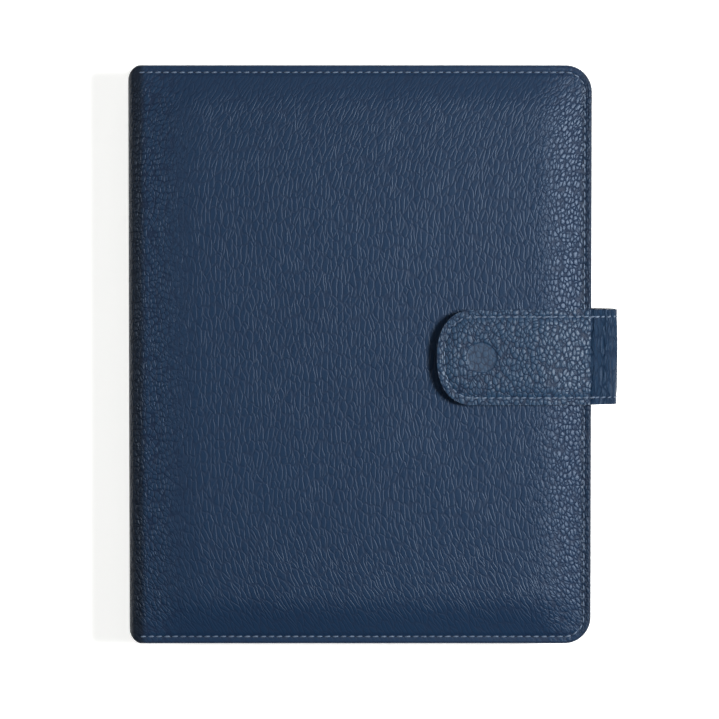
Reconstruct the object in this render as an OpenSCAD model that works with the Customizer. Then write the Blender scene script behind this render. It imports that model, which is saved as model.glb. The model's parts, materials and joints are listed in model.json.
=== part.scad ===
// Tablet keyboard case: a padded leather folio with a strap clasp. It holds a tablet tray that
// stands up on a folding leg, and a wireless keyboard. It lies closed on its back cover.
// X runs from the spine to the fore edge, Y along the spine, Z up through the closed stack.

/* [Covers] */
// Width of the closed covers, from the spine to the fore edge
cover_w = 208; // [206:1:212]
// Height of the covers along the spine
cover_h = 260; // [258:1:266]
// Plan radius of the two fore-edge corners
fore_r = 12; // [8:0.5:16]
// Plan radius of the two spine corners
spine_r = 5.5; // [4:0.5:6]
// Thickness of a cover at its stitched border
edge_t = 3.8; // [3.6:0.1:4.4]
// Height of the padded crown above the border
crown_h = 3.2; // [2.8:0.1:4]
// Thickness of the leather
leather_t = 1.2; // [1:0.1:1.4]
// Thickness of the inner lining
lining_t = 0.6; // [0.4:0.1:0.8]
// Radius of the leather where it turns from a cover into the spine
fold_r = 5; // [4.5:0.1:5.5]

/* [Strap] */
// Width of the clasp strap
strap_w = 42.6; // [36:0.2:48]
// Thickness of the strap
strap_t = 2.8; // [2.4:0.1:3.2]
// Length of the strap that laps over the front cover
strap_lap = 69.6; // [60:0.2:80]
// Distance that the strap stands out past the fore edge
strap_bulge = 11.7; // [10:0.1:14]
// Length of the strap that is sewn under the back cover
tail_len = 42; // [34:1:50]
// Place of the strap's middle along the spine
strap_y = -0.7; // [-4:0.1:4]

/* [Tablet tray] */
// Short side of the tablet bay
bay_w = 179.3; // [178:0.1:180]
// Long side of the tablet bay
bay_h = 248.4; // [247:0.1:249]
// Depth of the tablet bay, without its felt
bay_d = 6.5; // [6.2:0.1:6.8]
// Distance from the tray's hinge to the stand leg's hinge, which is the leg's own length too
leg_len = 80; // [70:1:85]
// Width of the stand leg
leg_w = 120; // [90:2:150]

/* [Keyboard] */
// Width of one key unit along the row
unit = 16.6; // [16:0.1:16.8]
// Depth of a full key row
row_d = 17.4; // [16.8:0.1:17.6]
// Depth of the function key row
function_row_d = 11.5; // [10.5:0.1:12]
// Gap between neighbouring caps
key_gap = 2.4; // [2:0.1:3]
// Height of the caps above the deck
key_rise = 1.3; // [1.1:0.1:1.5]
// Width of the touchpad
pad_w = 104; // [90:1:110]
// Depth of the touchpad
pad_d = 58; // [50:1:60]

/* [Hidden] */
$fn = 64;
eps = 0.01;

// Colours
navy = [0.17, 0.24, 0.34];
navy_lining = [0.20, 0.27, 0.37];
steel = [0.62, 0.63, 0.65];
graphite = [0.20, 0.21, 0.23];
cap_grey = [0.12, 0.13, 0.14];
rubber = [0.10, 0.10, 0.11];
board_brown = [0.55, 0.47, 0.38];
foam_grey = [0.75, 0.75, 0.73];

// Levels of the closed stack
z_back_edge = crown_h;
z_back_in = z_back_edge + edge_t;
base_floor = 1;
z_base_floor = z_back_in + base_floor;
deck_t = 1;
z_deck_under = z_back_in + 3.8;
z_deck = z_deck_under + deck_t;
z_key_under = z_deck_under - 0.1;
z_key_top = z_deck + key_rise;
lip_t = 0.7;
z_rim = z_deck + 2.3;
z_bay = z_rim + lip_t;
plate_t = 1.6;
z_plate = z_bay + bay_d;
z_tray_top = z_plate + plate_t;
z_pivot = z_tray_top + 1.4;
z_front_in = z_pivot + 1.5;
z_front_edge = z_front_in + edge_t;
strap_gap = 0.15;
z_strap_under = z_front_edge + crown_h + strap_gap;
z_strap_top = z_strap_under + strap_t;

// The crown's rise, from the stitched border inwards
dome_insets = [4.5, 10, 20];
dome_lefts = [6, 12, 24];
dome_heights = [0, crown_h * 0.7, crown_h];
board_inset = 5;
board_left = 5.6;
lining_inset = 1.5;

// The whole is centred on its own width, with the strap's bulge
spine_x = -(cover_w + strap_bulge) / 2;

// Folds: the arcs are cut on their diagonals, and each fold turns about a line just outside the cut
cut_half_gap = 1;

// Tray and hinge
grip_t = 1;
tray_wall = 1.6;
tray_w = bay_w + 2 * (grip_t + tray_wall);
tray_h = bay_h + 2 * (grip_t + tray_wall);
tray_u = 14.3;
tray_r = 9;
pivot_u = 11.6;
pivot_r = 1.2;
pin_r = 0.75;
pin_gap = 0.05;
leaf_u = 6;
leaf_t = 0.6;
// The leaf stops short of the tray's knuckles, which turn in front of it
leaf_end_u = pivot_u - 1;
rivet_u = 8;
rivet_r = 1;
n_knuckles = 15;
knuckle_pitch = 16;
knuckle_gap = 0.4;
leg_t = 2;
leg_knuckle = 12;
foot_r = 1.3;
felt_t = 0.3;
port_notch_w = 16;

// Keyboard body
kb_u = 14.5;
kb_d = 184;
kb_half = 125.6;
kb_r = 8;
kb_wall = 1.6;
keys_u = 22;
key_half_span = 7.25 * unit;
pad_u = 128;
well_gap = 0.4;
screw_places = [for (u = [18.4, 192.5], y = [-110, 0, 110]) [u, y]];
magnet_places = [for (u = [40, 170], y = [-90, 90]) [u, y]];
bumper_places = [for (u = [18.6, 194.4], y = [-121.4, 121.4]) [u, y]];
light_places = [for (y = [90, 96, 102]) [18.4, y]];
switch_u = 172;
button_u = 184;
z_button = z_base_floor + 1.4;
port_u = 152;

// Key widths in units, row by row from the spine towards the user
key_rows = [
    [1.5, for (i = [1:13]) 1],
    [for (i = [1:13]) 1, 1.5],
    [1.5, for (i = [1:13]) 1],
    [1.75, for (i = [1:11]) 1, 1.75],
    [2.25, for (i = [1:10]) 1, 2.25],
    [1, 1, 1, 1.25, 5, 1.25, 1, 1, 1, 1]];
arrow_column = 7;

function units_before(widths, i) = i == 0 ? 0 : widths[i - 1] + units_before(widths, i - 1);
function row_u(row) = row == 0 ? keys_u : keys_u + function_row_d + (row - 1) * row_d;
function row_depth(row) = row == 0 ? function_row_d : row_d;
// A cap's corner nearest the spine and the left, and its size
function key_box(row, i) = [
    [row_u(row) + key_gap / 2, -key_half_span + units_before(key_rows[row], i) * unit + key_gap / 2],
    [row_depth(row) - key_gap, key_rows[row][i] * unit - key_gap]];
// Arrow caps are half as deep: column 0, 1 or 2, and lower true for the half nearest the user
function arrow_box(column, lower) = let (b = key_box(5, arrow_column + column), half = (b[1][0] - 0.8) / 2)
    [[b[0][0] + (lower ? half + 0.8 : 0), b[0][1]], [half, b[1][1]]];
function is_arrow(row, i) = row == 5 && i >= arrow_column;
arrow_boxes = [arrow_box(0, true), arrow_box(1, true), arrow_box(1, false), arrow_box(2, true)];
all_boxes = concat(
    [for (r = [0:5], i = [0:len(key_rows[r]) - 1]) if (!is_arrow(r, i)) key_box(r, i)], arrow_boxes);

// ---- Shared shapes ----

module place() translate([spine_x, 0, 0]) children();

module block(from, to) translate(from) cube(to - from);

// Rectangle from x0 to x1 and from -half to half, with rounded corners
module rounded_rect(x0, x1, half, r0, r1) {
    translate([x0 + r0, -half]) square([x1 - x0 - r0 - r1, 2 * half]);
    translate([x0, -half + r0]) square([r0 + eps, 2 * (half - r0)]);
    translate([x1 - r1 - eps, -half + r1]) square([r1 + eps, 2 * (half - r1)]);
    for (s = [-1, 1]) {
        translate([x0 + r0, s * (half - r0)]) circle(r0);
        translate([x1 - r1, s * (half - r1)]) circle(r1);
    }
}

// The covers' outline, moved in by inset, with its spine side at left
module cover_outline(inset, left)
    rounded_rect(left, cover_w - inset, cover_h / 2 - inset, max(spine_r - inset, 1), max(fore_r - inset, 2));

module cover_prism(inset, left, z0, z1) translate([0, 0, z0]) linear_extrude(z1 - z0) cover_outline(inset, left);

// The padded crown on a plane z0, rising up or down, shrunk inwards by thin
module dome(z0, up, thin)
    hull() for (i = [0:2]) {
        rise = max(dome_heights[i] - eps, 0);
        translate([0, 0, up ? z0 + rise : z0 - rise - eps]) linear_extrude(eps, $fn = 32)
            cover_outline(dome_insets[i] + thin, dome_lefts[i] + thin);
    }

// Extrudes a profile drawn in X and Z along Y, centred
module along_spine(length) rotate([90, 0, 0]) translate([0, 0, -length / 2]) linear_extrude(length) children();

// Part of a ring in the profile plane, from angle a0 to a1, under 90 degrees apart
module ring_part(centre, outer, thick, a0, a1) {
    far = 3 * outer;
    translate(centre) intersection() {
        difference() {
            circle(outer);
            circle(outer - thick);
        }
        polygon([[0, 0], far * [cos(a0), sin(a0)], far * [cos((a0 + a1) / 2), sin((a0 + a1) / 2)],
            far * [cos(a1), sin(a1)]]);
    }
}

// ---- Covers ----

// Leather of one cover, flat side up for the back cover: turned edges round a recess for board and lining
module cover_leather(up) {
    z_edge = up ? z_front_edge : z_back_edge;
    z_in = up ? z_front_in : z_back_in;
    s = up ? 1 : -1;
    arc_centre = [fold_r, z_edge - s * fold_r];
    plate = z_edge - s * leather_t;
    difference() {
        union() {
            intersection() {
                cover_prism(0, 0, z_back_edge - 1, z_front_edge + 1);
                along_spine(cover_h + 2) {
                    translate([fold_r, min(z_edge, plate)]) square([cover_w, leather_t]);
                    translate([board_left, min(z_edge, z_in)]) square([cover_w, edge_t]);
                    if (up) ring_part(arc_centre, fold_r, leather_t, 90, 135 - cut_half_gap);
                    else ring_part(arc_centre, fold_r, leather_t, 225 + cut_half_gap, 270);
                }
            }
            dome(z_edge, up, 0);
        }
        cover_prism(lining_inset, board_left, min(z_in, z_in + s * lining_t), max(z_in, z_in + s * lining_t));
        cover_prism(board_inset, board_left, min(z_in, plate + s * eps), max(z_in, plate + s * eps));
        dome(plate, up, leather_t);
    }
}

module front_leather() color(navy) cover_leather(true);

module back_leather() color(navy) {
    wrap = leather_t;
    difference() {
        union() {
            cover_leather(false);
            // the leather is pressed in under the sewn end of the strap
            intersection() {
                dome(z_back_edge, false, 0);
                block([cover_w - tail_len - wrap, strap_y - strap_w / 2 - wrap, 0],
                    [cover_w - dome_insets[0], strap_y + strap_w / 2 + wrap, z_back_edge]);
            }
        }
        tail_pocket(0.1);
    }
}

module tail_pocket(gap)
    block([cover_w - tail_len - gap, strap_y - strap_w / 2 - gap, -1],
        [cover_w + 20, strap_y + strap_w / 2 + gap, strap_t]);

module front_foam() color(foam_grey) difference() {
    dome(z_front_edge - leather_t, true, leather_t);
    catch_disc(0, 1);
}

module back_foam() color(foam_grey) difference() {
    dome(z_back_edge + leather_t, false, leather_t);
    block([cover_w - tail_len - leather_t, strap_y - strap_w / 2 - leather_t, -1],
        [cover_w, strap_y + strap_w / 2 + leather_t, z_back_edge]);
}

module cover_board(z0) cover_prism(board_inset, board_left, z0, z0 + edge_t - leather_t - lining_t);

module front_board() color(board_brown) difference() {
    cover_board(z_front_in + lining_t);
    rivet_shanks(pin_gap);
}

module back_board() color(board_brown) difference() {
    cover_board(z_back_edge + leather_t);
    holding_discs();
}

module front_lining() color(navy_lining) difference() {
    cover_prism(lining_inset, board_left, z_front_in, z_front_in + lining_t);
    rivet_shanks(pin_gap);
}

module back_lining() color(navy_lining)
    cover_prism(lining_inset, board_left, z_back_in - lining_t, z_back_in);

// Thin steel discs under the back lining, which the keyboard's magnets hold to
module holding_discs()
    for (p = magnet_places) translate([p[0], p[1], z_back_in - lining_t - 0.5]) cylinder(0.5, r = 6.5);

module holding_plates() color(steel) holding_discs();

// Steel disc under the front leather, which the strap's magnet holds to
catch_u = cover_w - strap_lap + 20;
catch_t = 0.8;
module catch_disc(gap, over)
    translate([catch_u, strap_y, z_front_edge + crown_h - leather_t - catch_t]) cylinder(catch_t + over, r = 9 + gap);

module catch_plate() color(steel) catch_disc(-0.05, 0);

// ---- Spine ----

module spine_leather() color(navy) intersection() {
    cover_prism(0, 0, z_back_edge, z_front_edge);
    along_spine(cover_h + 2) {
        translate([0, z_back_edge + fold_r]) square([leather_t, z_front_edge - z_back_edge - 2 * fold_r]);
        ring_part([fold_r, z_front_edge - fold_r], fold_r, leather_t, 135 + cut_half_gap, 180);
        ring_part([fold_r, z_back_edge + fold_r], fold_r, leather_t, 180, 225 - cut_half_gap);
    }
}

spine_board_t = 1.5;
spine_inner_u = leather_t + spine_board_t;
module spine_board() color(board_brown)
    block([leather_t, -cover_h / 2 + 5, z_back_edge + fold_r + 1], [spine_inner_u, cover_h / 2 - 5, z_front_edge - fold_r - 1]);

module spine_lining() color(navy_lining)
    block([spine_inner_u, -cover_h / 2 + 4, z_back_edge + fold_r], [spine_inner_u + 0.5, cover_h / 2 - 4, z_front_edge - fold_r]);

// ---- Strap ----

strap_r = strap_bulge;
low_arc = [cover_w, strap_r];
high_arc = [cover_w, z_strap_top - strap_r];
magnet_t = 1.2;
flap_split = 1.3;

module strap_strip() translate([0, strap_y, 0]) along_spine(strap_w) children();

module strap_tail() color(navy) strap_strip() {
    translate([cover_w - tail_len, 0]) square([tail_len, strap_t]);
    ring_part(low_arc, strap_r, strap_t, 270, 315 - cut_half_gap);
}

module strap_bridge() color(navy) strap_strip() {
    ring_part(low_arc, strap_r, strap_t, 315 + cut_half_gap, 360);
    translate([cover_w + strap_r - strap_t, low_arc[1]]) square([strap_t, high_arc[1] - low_arc[1]]);
    ring_part(high_arc, strap_r, strap_t, 0, 45 - cut_half_gap);
}

// Plan of the lap, with its rounded tip: corner arcs joined by a flat bulged arc
tip_r = 14.5;
tip_bulge_r = 34;
module lap_outline() {
    tip_u = cover_w - strap_lap;
    half = strap_w / 2;
    translate([0, strap_y]) intersection() {
        union() {
            translate([tip_u + tip_r, -half]) square([strap_lap + strap_bulge, strap_w]);
            translate([tip_u, -half + tip_r]) square([tip_r + eps, strap_w - 2 * tip_r]);
            for (s = [-1, 1]) translate([tip_u + tip_r, s * (half - tip_r)]) circle(tip_r);
        }
        union() {
            translate([tip_u + tip_bulge_r, 0]) circle(tip_bulge_r);
            translate([tip_u + tip_r, -half]) square([strap_lap + strap_bulge, strap_w]);
        }
    }
}

// One layer of the lap: from the profile's depth d0 to d1 below the strap's outer face
module lap_layer(d0, d1) intersection() {
    translate([0, 0, z_strap_under - 20]) linear_extrude(40) lap_outline();
    translate([0, strap_y, 0]) along_spine(strap_w + 1) {
        translate([cover_w - strap_lap, z_strap_top - d1]) square([strap_lap, d1 - d0]);
        ring_part(high_arc, strap_r - d0, d1 - d0, 45 + cut_half_gap, 90);
    }
}

module strap_flap() color(navy) lap_layer(0, strap_t - flap_split);

module strap_flap_lining() color(navy_lining) difference() {
    lap_layer(strap_t - flap_split, strap_t);
    magnet_disc(0.05);
}

module magnet_disc(gap)
    translate([catch_u, strap_y, z_strap_under + flap_split - magnet_t]) cylinder(magnet_t + eps, r = 8 + gap);

module strap_magnet() color(steel)
    translate([catch_u, strap_y, z_strap_under + flap_split - magnet_t]) cylinder(magnet_t, r = 8);

// ---- Tray, its hinge and its stand ----

module y_cylinder(u, z, r, y0, y1) translate([u, y1, z]) rotate([90, 0, 0]) cylinder(y1 - y0, r = r);

// Start of knuckle i along the tray's hinge
function knuckle_y(i) = -n_knuckles * knuckle_pitch / 2 + i * knuckle_pitch + knuckle_gap / 2;

module hinge_leaf() color(steel) difference() {
    union() {
        block([leaf_u, -120, z_front_in - leaf_t], [leaf_end_u, 120, z_front_in]);
        for (i = [0:2:n_knuckles - 1]) {
            y0 = knuckle_y(i);
            y1 = y0 + knuckle_pitch - knuckle_gap;
            y_cylinder(pivot_u, z_pivot, pivot_r, y0, y1);
            block([pivot_u - pivot_r, y0, z_pivot], [pivot_u, y1, z_front_in]);
        }
    }
    y_cylinder(pivot_u, z_pivot, pin_r + pin_gap, -130, 130);
    rivet_shanks(pin_gap);
}

module hinge_pin() color(steel) y_cylinder(pivot_u, z_pivot, pin_r, -120, 120);

rivet_ys = [-104 : 26 : 104];
module rivet_shanks(gap)
    for (y = rivet_ys) translate([rivet_u, y, z_front_in - leaf_t - 0.1])
        cylinder(leaf_t + 0.1 + edge_t - leather_t, r = rivet_r + gap);

module hinge_rivets() color(steel) {
    rivet_shanks(0);
    for (y = rivet_ys) translate([rivet_u, y, z_front_in - leaf_t - 0.5]) cylinder(0.5, r = 1.7);
}

module tray_prism(inset, z0, z1)
    translate([0, 0, z0]) linear_extrude(z1 - z0)
        rounded_rect(tray_u + inset, tray_u + tray_w - inset, tray_h / 2 - inset, tray_r - inset, tray_r - inset);

leg_u = pivot_u + leg_len;
// Tray lugs on the leg's hinge
leg_lug_ys = [for (k = [-1.5, -0.5, 0.5, 1.5]) k * leg_w / 4 - leg_knuckle / 2];

module tray_shell() color(graphite) difference() {
    union() {
        difference() {
            tray_prism(0, z_rim, z_tray_top);
            tray_prism(tray_wall, z_rim - 1, z_plate);
        }
        for (i = [1:2:n_knuckles - 2]) {
            y0 = knuckle_y(i);
            y1 = y0 + knuckle_pitch - knuckle_gap;
            y_cylinder(pivot_u, z_pivot, pivot_r, y0, y1);
            block([pivot_u, y0, z_tray_top - 0.1], [tray_u + 3, y1, z_pivot]);
        }
        for (y = leg_lug_ys) {
            y_cylinder(leg_u, z_pivot, pivot_r, y, y + leg_knuckle);
            block([leg_u - pivot_r, y, z_tray_top - 0.1], [leg_u + pivot_r, y + leg_knuckle, z_pivot]);
        }
    }
    y_cylinder(pivot_u, z_pivot, pin_r + pin_gap, -130, 130);
    y_cylinder(leg_u, z_pivot, pin_r + pin_gap, -leg_w, leg_w);
    // notch for the tablet's charging plug
    block([tray_u + (tray_w - port_notch_w) / 2, -tray_h, z_rim - 1],
        [tray_u + (tray_w + port_notch_w) / 2, -tray_h / 2 + 5, z_plate]);
}

// Soft corners with a lip that snaps over the tablet's face
grip_len = 28;
lip_w = 2.5;
module tray_corner_grips() color(rubber) for (su = [0, 1], sy = [-1, 1]) intersection() {
    difference() {
        tray_prism(tray_wall, z_rim, z_plate - felt_t);
        tray_prism(tray_wall + grip_t, z_bay, z_plate);
        tray_prism(tray_wall + grip_t + lip_w, z_rim - 1, z_bay + 1);
    }
    block([tray_u + (su == 0 ? 0 : tray_w - grip_len), sy > 0 ? tray_h / 2 - grip_len : -tray_h / 2, z_rim],
        [tray_u + (su == 0 ? grip_len : tray_w), sy > 0 ? tray_h / 2 : -tray_h / 2 + grip_len, z_plate]);
}

module tray_felt() color(navy_lining) tray_prism(tray_wall + grip_t + 0.2, z_plate - felt_t, z_plate);

module leg_pin() color(steel) y_cylinder(leg_u, z_pivot, pin_r, -leg_w / 2, leg_w / 2);

module stand_leg() color(graphite) difference() {
    union() {
        block([leg_u + 1.6, -leg_w / 2, z_pivot - leg_t / 2], [leg_u + leg_len - 0.6, leg_w / 2, z_pivot + leg_t / 2]);
        difference() {
            union() {
                y_cylinder(leg_u, z_pivot, pivot_r, -leg_w / 2, leg_w / 2);
                block([leg_u, -leg_w / 2, z_pivot - leg_t / 2], [leg_u + 2, leg_w / 2, z_pivot + leg_t / 2]);
            }
            for (y = leg_lug_ys)
                block([leg_u - 2, y - knuckle_gap / 2, z_pivot - 2], [leg_u + 1.6, y + leg_knuckle + knuckle_gap / 2, z_pivot + 2]);
        }
    }
    y_cylinder(leg_u, z_pivot, pin_r + pin_gap, -leg_w, leg_w);
    y_cylinder(leg_u + leg_len, z_pivot, foot_r, -leg_w, leg_w);
}

// Rubber bead along the leg's free end
module stand_foot() color(rubber) y_cylinder(leg_u + leg_len, z_pivot, foot_r, -leg_w / 2, leg_w / 2);

// ---- Keyboard ----

module kb_prism(inset, z0, z1)
    translate([0, 0, z0]) linear_extrude(z1 - z0)
        rounded_rect(kb_u + inset, kb_u + kb_d - inset, kb_half - inset, kb_r - inset, kb_r - inset);

module at_each(places, z) for (p = places) translate([p[0], p[1], z]) children();

post_split = z_base_floor + 0.9;
module keyboard_base() color(graphite) difference() {
    union() {
        difference() {
            kb_prism(0, z_back_in, z_deck_under);
            kb_prism(kb_wall, z_base_floor, z_deck_under + 1);
        }
        at_each(screw_places, z_base_floor - 0.1) cylinder(post_split - z_base_floor + 0.1, r = 2);
    }
    at_each(screw_places, z_back_in - 1) cylinder(5, r = 0.9);
    at_each(screw_places, z_back_in - 1) cylinder(1.55, r = 1.7);
    at_each(magnet_places, z_back_in - 1) cylinder(1.8, r = 5.05);
    // slots in the side wall for the port, the switch and the button
    block([port_u - 3.8, kb_half - 3, z_base_floor + 0.1], [port_u + 3.8, kb_half + 1, z_base_floor + 2.7]);
    block([switch_u - 2.2, kb_half - 3, z_base_floor + 0.6], [switch_u + 2.6, kb_half + 1, z_base_floor + 2]);
    y_cylinder(button_u, z_button, 1, kb_half - 3, kb_half + 1);
}

module keyboard_deck() color(graphite) difference() {
    union() {
        kb_prism(0, z_deck_under, z_deck);
        at_each(screw_places, post_split + 0.05) cylinder(z_deck_under - post_split, r = 2);
    }
    for (b = all_boxes)
        translate([b[0][0] - well_gap, b[0][1] - well_gap, z_deck_under - 1])
            cube([b[1][0] + 2 * well_gap, b[1][1] + 2 * well_gap, 3]);
    block([pad_u - well_gap, -pad_w / 2 - well_gap, z_deck_under - 1],
        [pad_u + pad_d + well_gap, pad_w / 2 + well_gap, z_deck + 1]);
    at_each(light_places, z_deck_under - 1) cylinder(3, r = 0.65);
    at_each(screw_places, post_split) cylinder(z_deck_under - post_split + 0.3, r = 0.85);
}

membrane_t = 0.5;
dome_sheet_t = 0.3;
keys_end_u = row_u(5) + row_d;
module key_membrane() color([0.80, 0.78, 0.66])
    block([keys_u, -key_half_span, z_base_floor], [keys_end_u, key_half_span, z_base_floor + membrane_t]);

module rubber_domes() color([0.85, 0.85, 0.83]) {
    z0 = z_base_floor + membrane_t;
    block([keys_u, -key_half_span, z0], [keys_end_u, key_half_span, z0 + dome_sheet_t]);
    for (b = all_boxes) translate([b[0][0] + b[1][0] / 2, b[0][1] + b[1][1] / 2, z0 + dome_sheet_t - eps])
        cylinder(z_key_under - z0 - dome_sheet_t - 0.1 + eps, r1 = 2.6, r2 = 1.6);
}

module main_board() color([0.10, 0.32, 0.20]) {
    z0 = z_base_floor + 0.3;
    top = z0 + 0.8;
    block([130, 62, z0], [188, 118, top]);
    block([136, 68, top - eps], [148, 84, top + 1]);
    block([154, 70, top - eps], [162, 78, top + 0.9]);
    block([166, 88, top - eps], [174, 94, top + 0.9]);
    block([136, 92, top - eps], [140, 108, top + 1]);
}

module battery() color([0.70, 0.72, 0.74])
    block([130, -118, z_base_floor + 0.1], [188, -62, z_base_floor + 2.5]);

module charge_port() color(steel) difference() {
    block([port_u - 3.7, kb_half - 5.4, z_base_floor + 0.15], [port_u + 3.7, kb_half - 0.2, z_base_floor + 2.65]);
    block([port_u - 3.3, kb_half - 4.6, z_base_floor + 0.55], [port_u + 3.3, kb_half, z_base_floor + 1]);
    block([port_u - 3.3, kb_half - 4.6, z_base_floor + 1.7], [port_u + 3.3, kb_half, z_base_floor + 2.25]);
    for (s = [-1, 1]) block([port_u + s * 2.9 - 0.4, kb_half - 4.6, z_base_floor + 0.55],
        [port_u + s * 2.9 + 0.4, kb_half, z_base_floor + 2.25]);
}

module keyboard_screws() color(steel) at_each(screw_places, 0) {
    translate([0, 0, z_back_in + 0.05]) cylinder(0.45, r = 1.6);
    translate([0, 0, z_back_in + 0.4]) cylinder(3.3, r = 0.8);
}

module keyboard_magnets() color(steel) at_each(magnet_places, z_back_in) cylinder(0.75, r = 5);

module indicator_lights() color([0.9, 0.95, 0.9])
    at_each(light_places, z_deck_under - 0.8) cylinder(deck_t + 0.85, r = 0.6);

module deck_bumpers() color(rubber) at_each(bumper_places, z_deck) cylinder(z_rim - z_deck - 0.25, r = 2.2);

module power_switch() color(rubber) {
    block([switch_u - 2, kb_half - 0.8, z_base_floor + 0.7], [switch_u + 0.4, kb_half + 0.6, z_base_floor + 1.9]);
    block([switch_u - 2.6, kb_half - 2.6, z_base_floor + 0.4], [switch_u + 1, kb_half - 1.7, z_base_floor + 2.2]);
    block([switch_u - 2, kb_half - 2, z_base_floor + 0.7], [switch_u + 0.4, kb_half - 0.7, z_base_floor + 1.9]);
}

module pairing_button() color(rubber) {
    y_cylinder(button_u, z_button, 0.9, kb_half - 2, kb_half + 0.5);
    y_cylinder(button_u, z_button, 1.3, kb_half - 2.6, kb_half - 1.7);
}

module touchpad() color([0.24, 0.25, 0.27]) {
    block([pad_u, -pad_w / 2, z_deck_under + 0.1], [pad_u + pad_d, pad_w / 2, z_deck - 0.1]);
    block([pad_u + 4, -pad_w / 2 + 6, z_deck_under - 0.7], [pad_u + pad_d - 4, pad_w / 2 - 6, z_deck_under + 0.2]);
}

// A cap: a skirt, and a smaller face on it
face_step = 0.4;
module keycap(b) {
    translate([b[0][0], b[0][1], z_key_under]) cube([b[1][0], b[1][1], z_key_top - z_key_under - face_step]);
    translate([b[0][0] + face_step, b[0][1] + face_step, z_key_top - face_step - eps])
        cube([b[1][0] - 2 * face_step, b[1][1] - 2 * face_step, face_step + eps]);
}

module keys(row, first, last) color(cap_grey) for (i = [first:last]) keycap(key_box(row, i));

module arrow(i) color(cap_grey) keycap(arrow_boxes[i]);

place() back_leather();
place() back_foam();
place() back_board();
place() back_lining();
place() holding_plates();
place() spine_leather();
place() spine_board();
place() spine_lining();
place() front_leather();
place() front_foam();
place() front_board();
place() front_lining();
place() catch_plate();
place() hinge_leaf();
place() hinge_pin();
place() hinge_rivets();
place() tray_shell();
place() tray_corner_grips();
place() tray_felt();
place() leg_pin();
place() stand_leg();
place() stand_foot();
place() strap_tail();
place() strap_bridge();
place() strap_flap();
place() strap_flap_lining();
place() strap_magnet();
place() keyboard_base();
place() keyboard_deck();
place() key_membrane();
place() rubber_domes();
place() main_board();
place() battery();
place() charge_port();
place() keyboard_screws();
place() keyboard_magnets();
place() indicator_lights();
place() deck_bumpers();
place() power_switch();
place() pairing_button();
place() touchpad();
place() keys(0, 0, 0);  // key_escape
place() keys(0, 1, 13);  // keys_function_row
place() keys(1, 0, 12);  // keys_number_row
place() keys(1, 13, 13);  // key_backspace
place() keys(2, 0, 0);  // key_tab
place() keys(2, 1, 13);  // keys_upper_row
place() keys(3, 0, 0);  // key_caps_lock
place() keys(3, 1, 11);  // keys_home_row
place() keys(3, 12, 12);  // key_enter
place() keys(4, 0, 0);  // key_shift_left
place() keys(4, 1, 10);  // keys_lower_row
place() keys(4, 11, 11);  // key_shift_right
place() keys(5, 0, 3);  // keys_left_modifiers
place() keys(5, 4, 4);  // key_space
place() keys(5, 5, 6);  // keys_right_modifiers
place() arrow(0);  // key_arrow_left
place() arrow(1);  // key_arrow_down
place() arrow(2);  // key_arrow_up
place() arrow(3);  // key_arrow_right
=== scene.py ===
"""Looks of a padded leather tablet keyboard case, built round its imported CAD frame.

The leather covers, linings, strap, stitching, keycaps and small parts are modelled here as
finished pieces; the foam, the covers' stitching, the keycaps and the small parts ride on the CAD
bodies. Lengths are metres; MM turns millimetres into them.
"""

import json
import logging
import math
from collections.abc import Callable, Iterable, Sequence
from dataclasses import dataclass, field
from enum import Enum

import bmesh
import bpy
from mathutils import Matrix, Vector, noise

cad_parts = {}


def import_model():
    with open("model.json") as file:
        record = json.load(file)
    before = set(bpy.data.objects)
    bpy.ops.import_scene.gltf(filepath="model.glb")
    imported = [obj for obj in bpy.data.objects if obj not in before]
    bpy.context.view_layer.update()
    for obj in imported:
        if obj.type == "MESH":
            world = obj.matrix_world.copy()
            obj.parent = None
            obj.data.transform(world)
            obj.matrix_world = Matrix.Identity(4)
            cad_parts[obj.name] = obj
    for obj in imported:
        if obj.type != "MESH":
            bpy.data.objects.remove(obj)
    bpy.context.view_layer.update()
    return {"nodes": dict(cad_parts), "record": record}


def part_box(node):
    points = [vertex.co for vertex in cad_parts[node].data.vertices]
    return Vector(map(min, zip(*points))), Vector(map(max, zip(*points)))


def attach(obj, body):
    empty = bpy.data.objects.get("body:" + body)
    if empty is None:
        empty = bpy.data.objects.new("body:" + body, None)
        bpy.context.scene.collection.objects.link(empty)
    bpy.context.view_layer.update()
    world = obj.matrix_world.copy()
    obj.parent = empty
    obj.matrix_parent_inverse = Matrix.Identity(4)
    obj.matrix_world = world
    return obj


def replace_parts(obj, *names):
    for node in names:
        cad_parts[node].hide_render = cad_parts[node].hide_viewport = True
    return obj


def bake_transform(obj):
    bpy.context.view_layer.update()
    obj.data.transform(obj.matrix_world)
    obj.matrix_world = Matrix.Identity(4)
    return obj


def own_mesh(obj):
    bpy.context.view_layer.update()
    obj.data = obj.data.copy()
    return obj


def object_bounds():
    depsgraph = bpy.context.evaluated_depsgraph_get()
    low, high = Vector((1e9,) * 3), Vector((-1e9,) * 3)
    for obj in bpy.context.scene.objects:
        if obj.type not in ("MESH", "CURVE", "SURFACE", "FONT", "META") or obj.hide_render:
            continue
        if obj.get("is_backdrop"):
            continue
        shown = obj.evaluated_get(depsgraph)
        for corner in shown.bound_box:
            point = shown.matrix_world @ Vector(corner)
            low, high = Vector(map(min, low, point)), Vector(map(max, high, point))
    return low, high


MM = 0.001
STAMP_RADIUS = 6.6 * MM
FOLDS_PER_METRE = (640.0, 30.0, 400.0)  # of the strap's hard bend, along X, Y and Z
SHARP_DEG = 40  # edges that turn by more than this are crisp or get rounded
WELD = 0.002 * MM  # corners of CAD triangles closer than this are one
COPLANAR_DEG = 0.5  # CAD triangles that turn by less than this are one face
LOG = logging.getLogger("tablet_case")
Socket = bpy.types.NodeSocket
Tree = bpy.types.NodeTree


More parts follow.
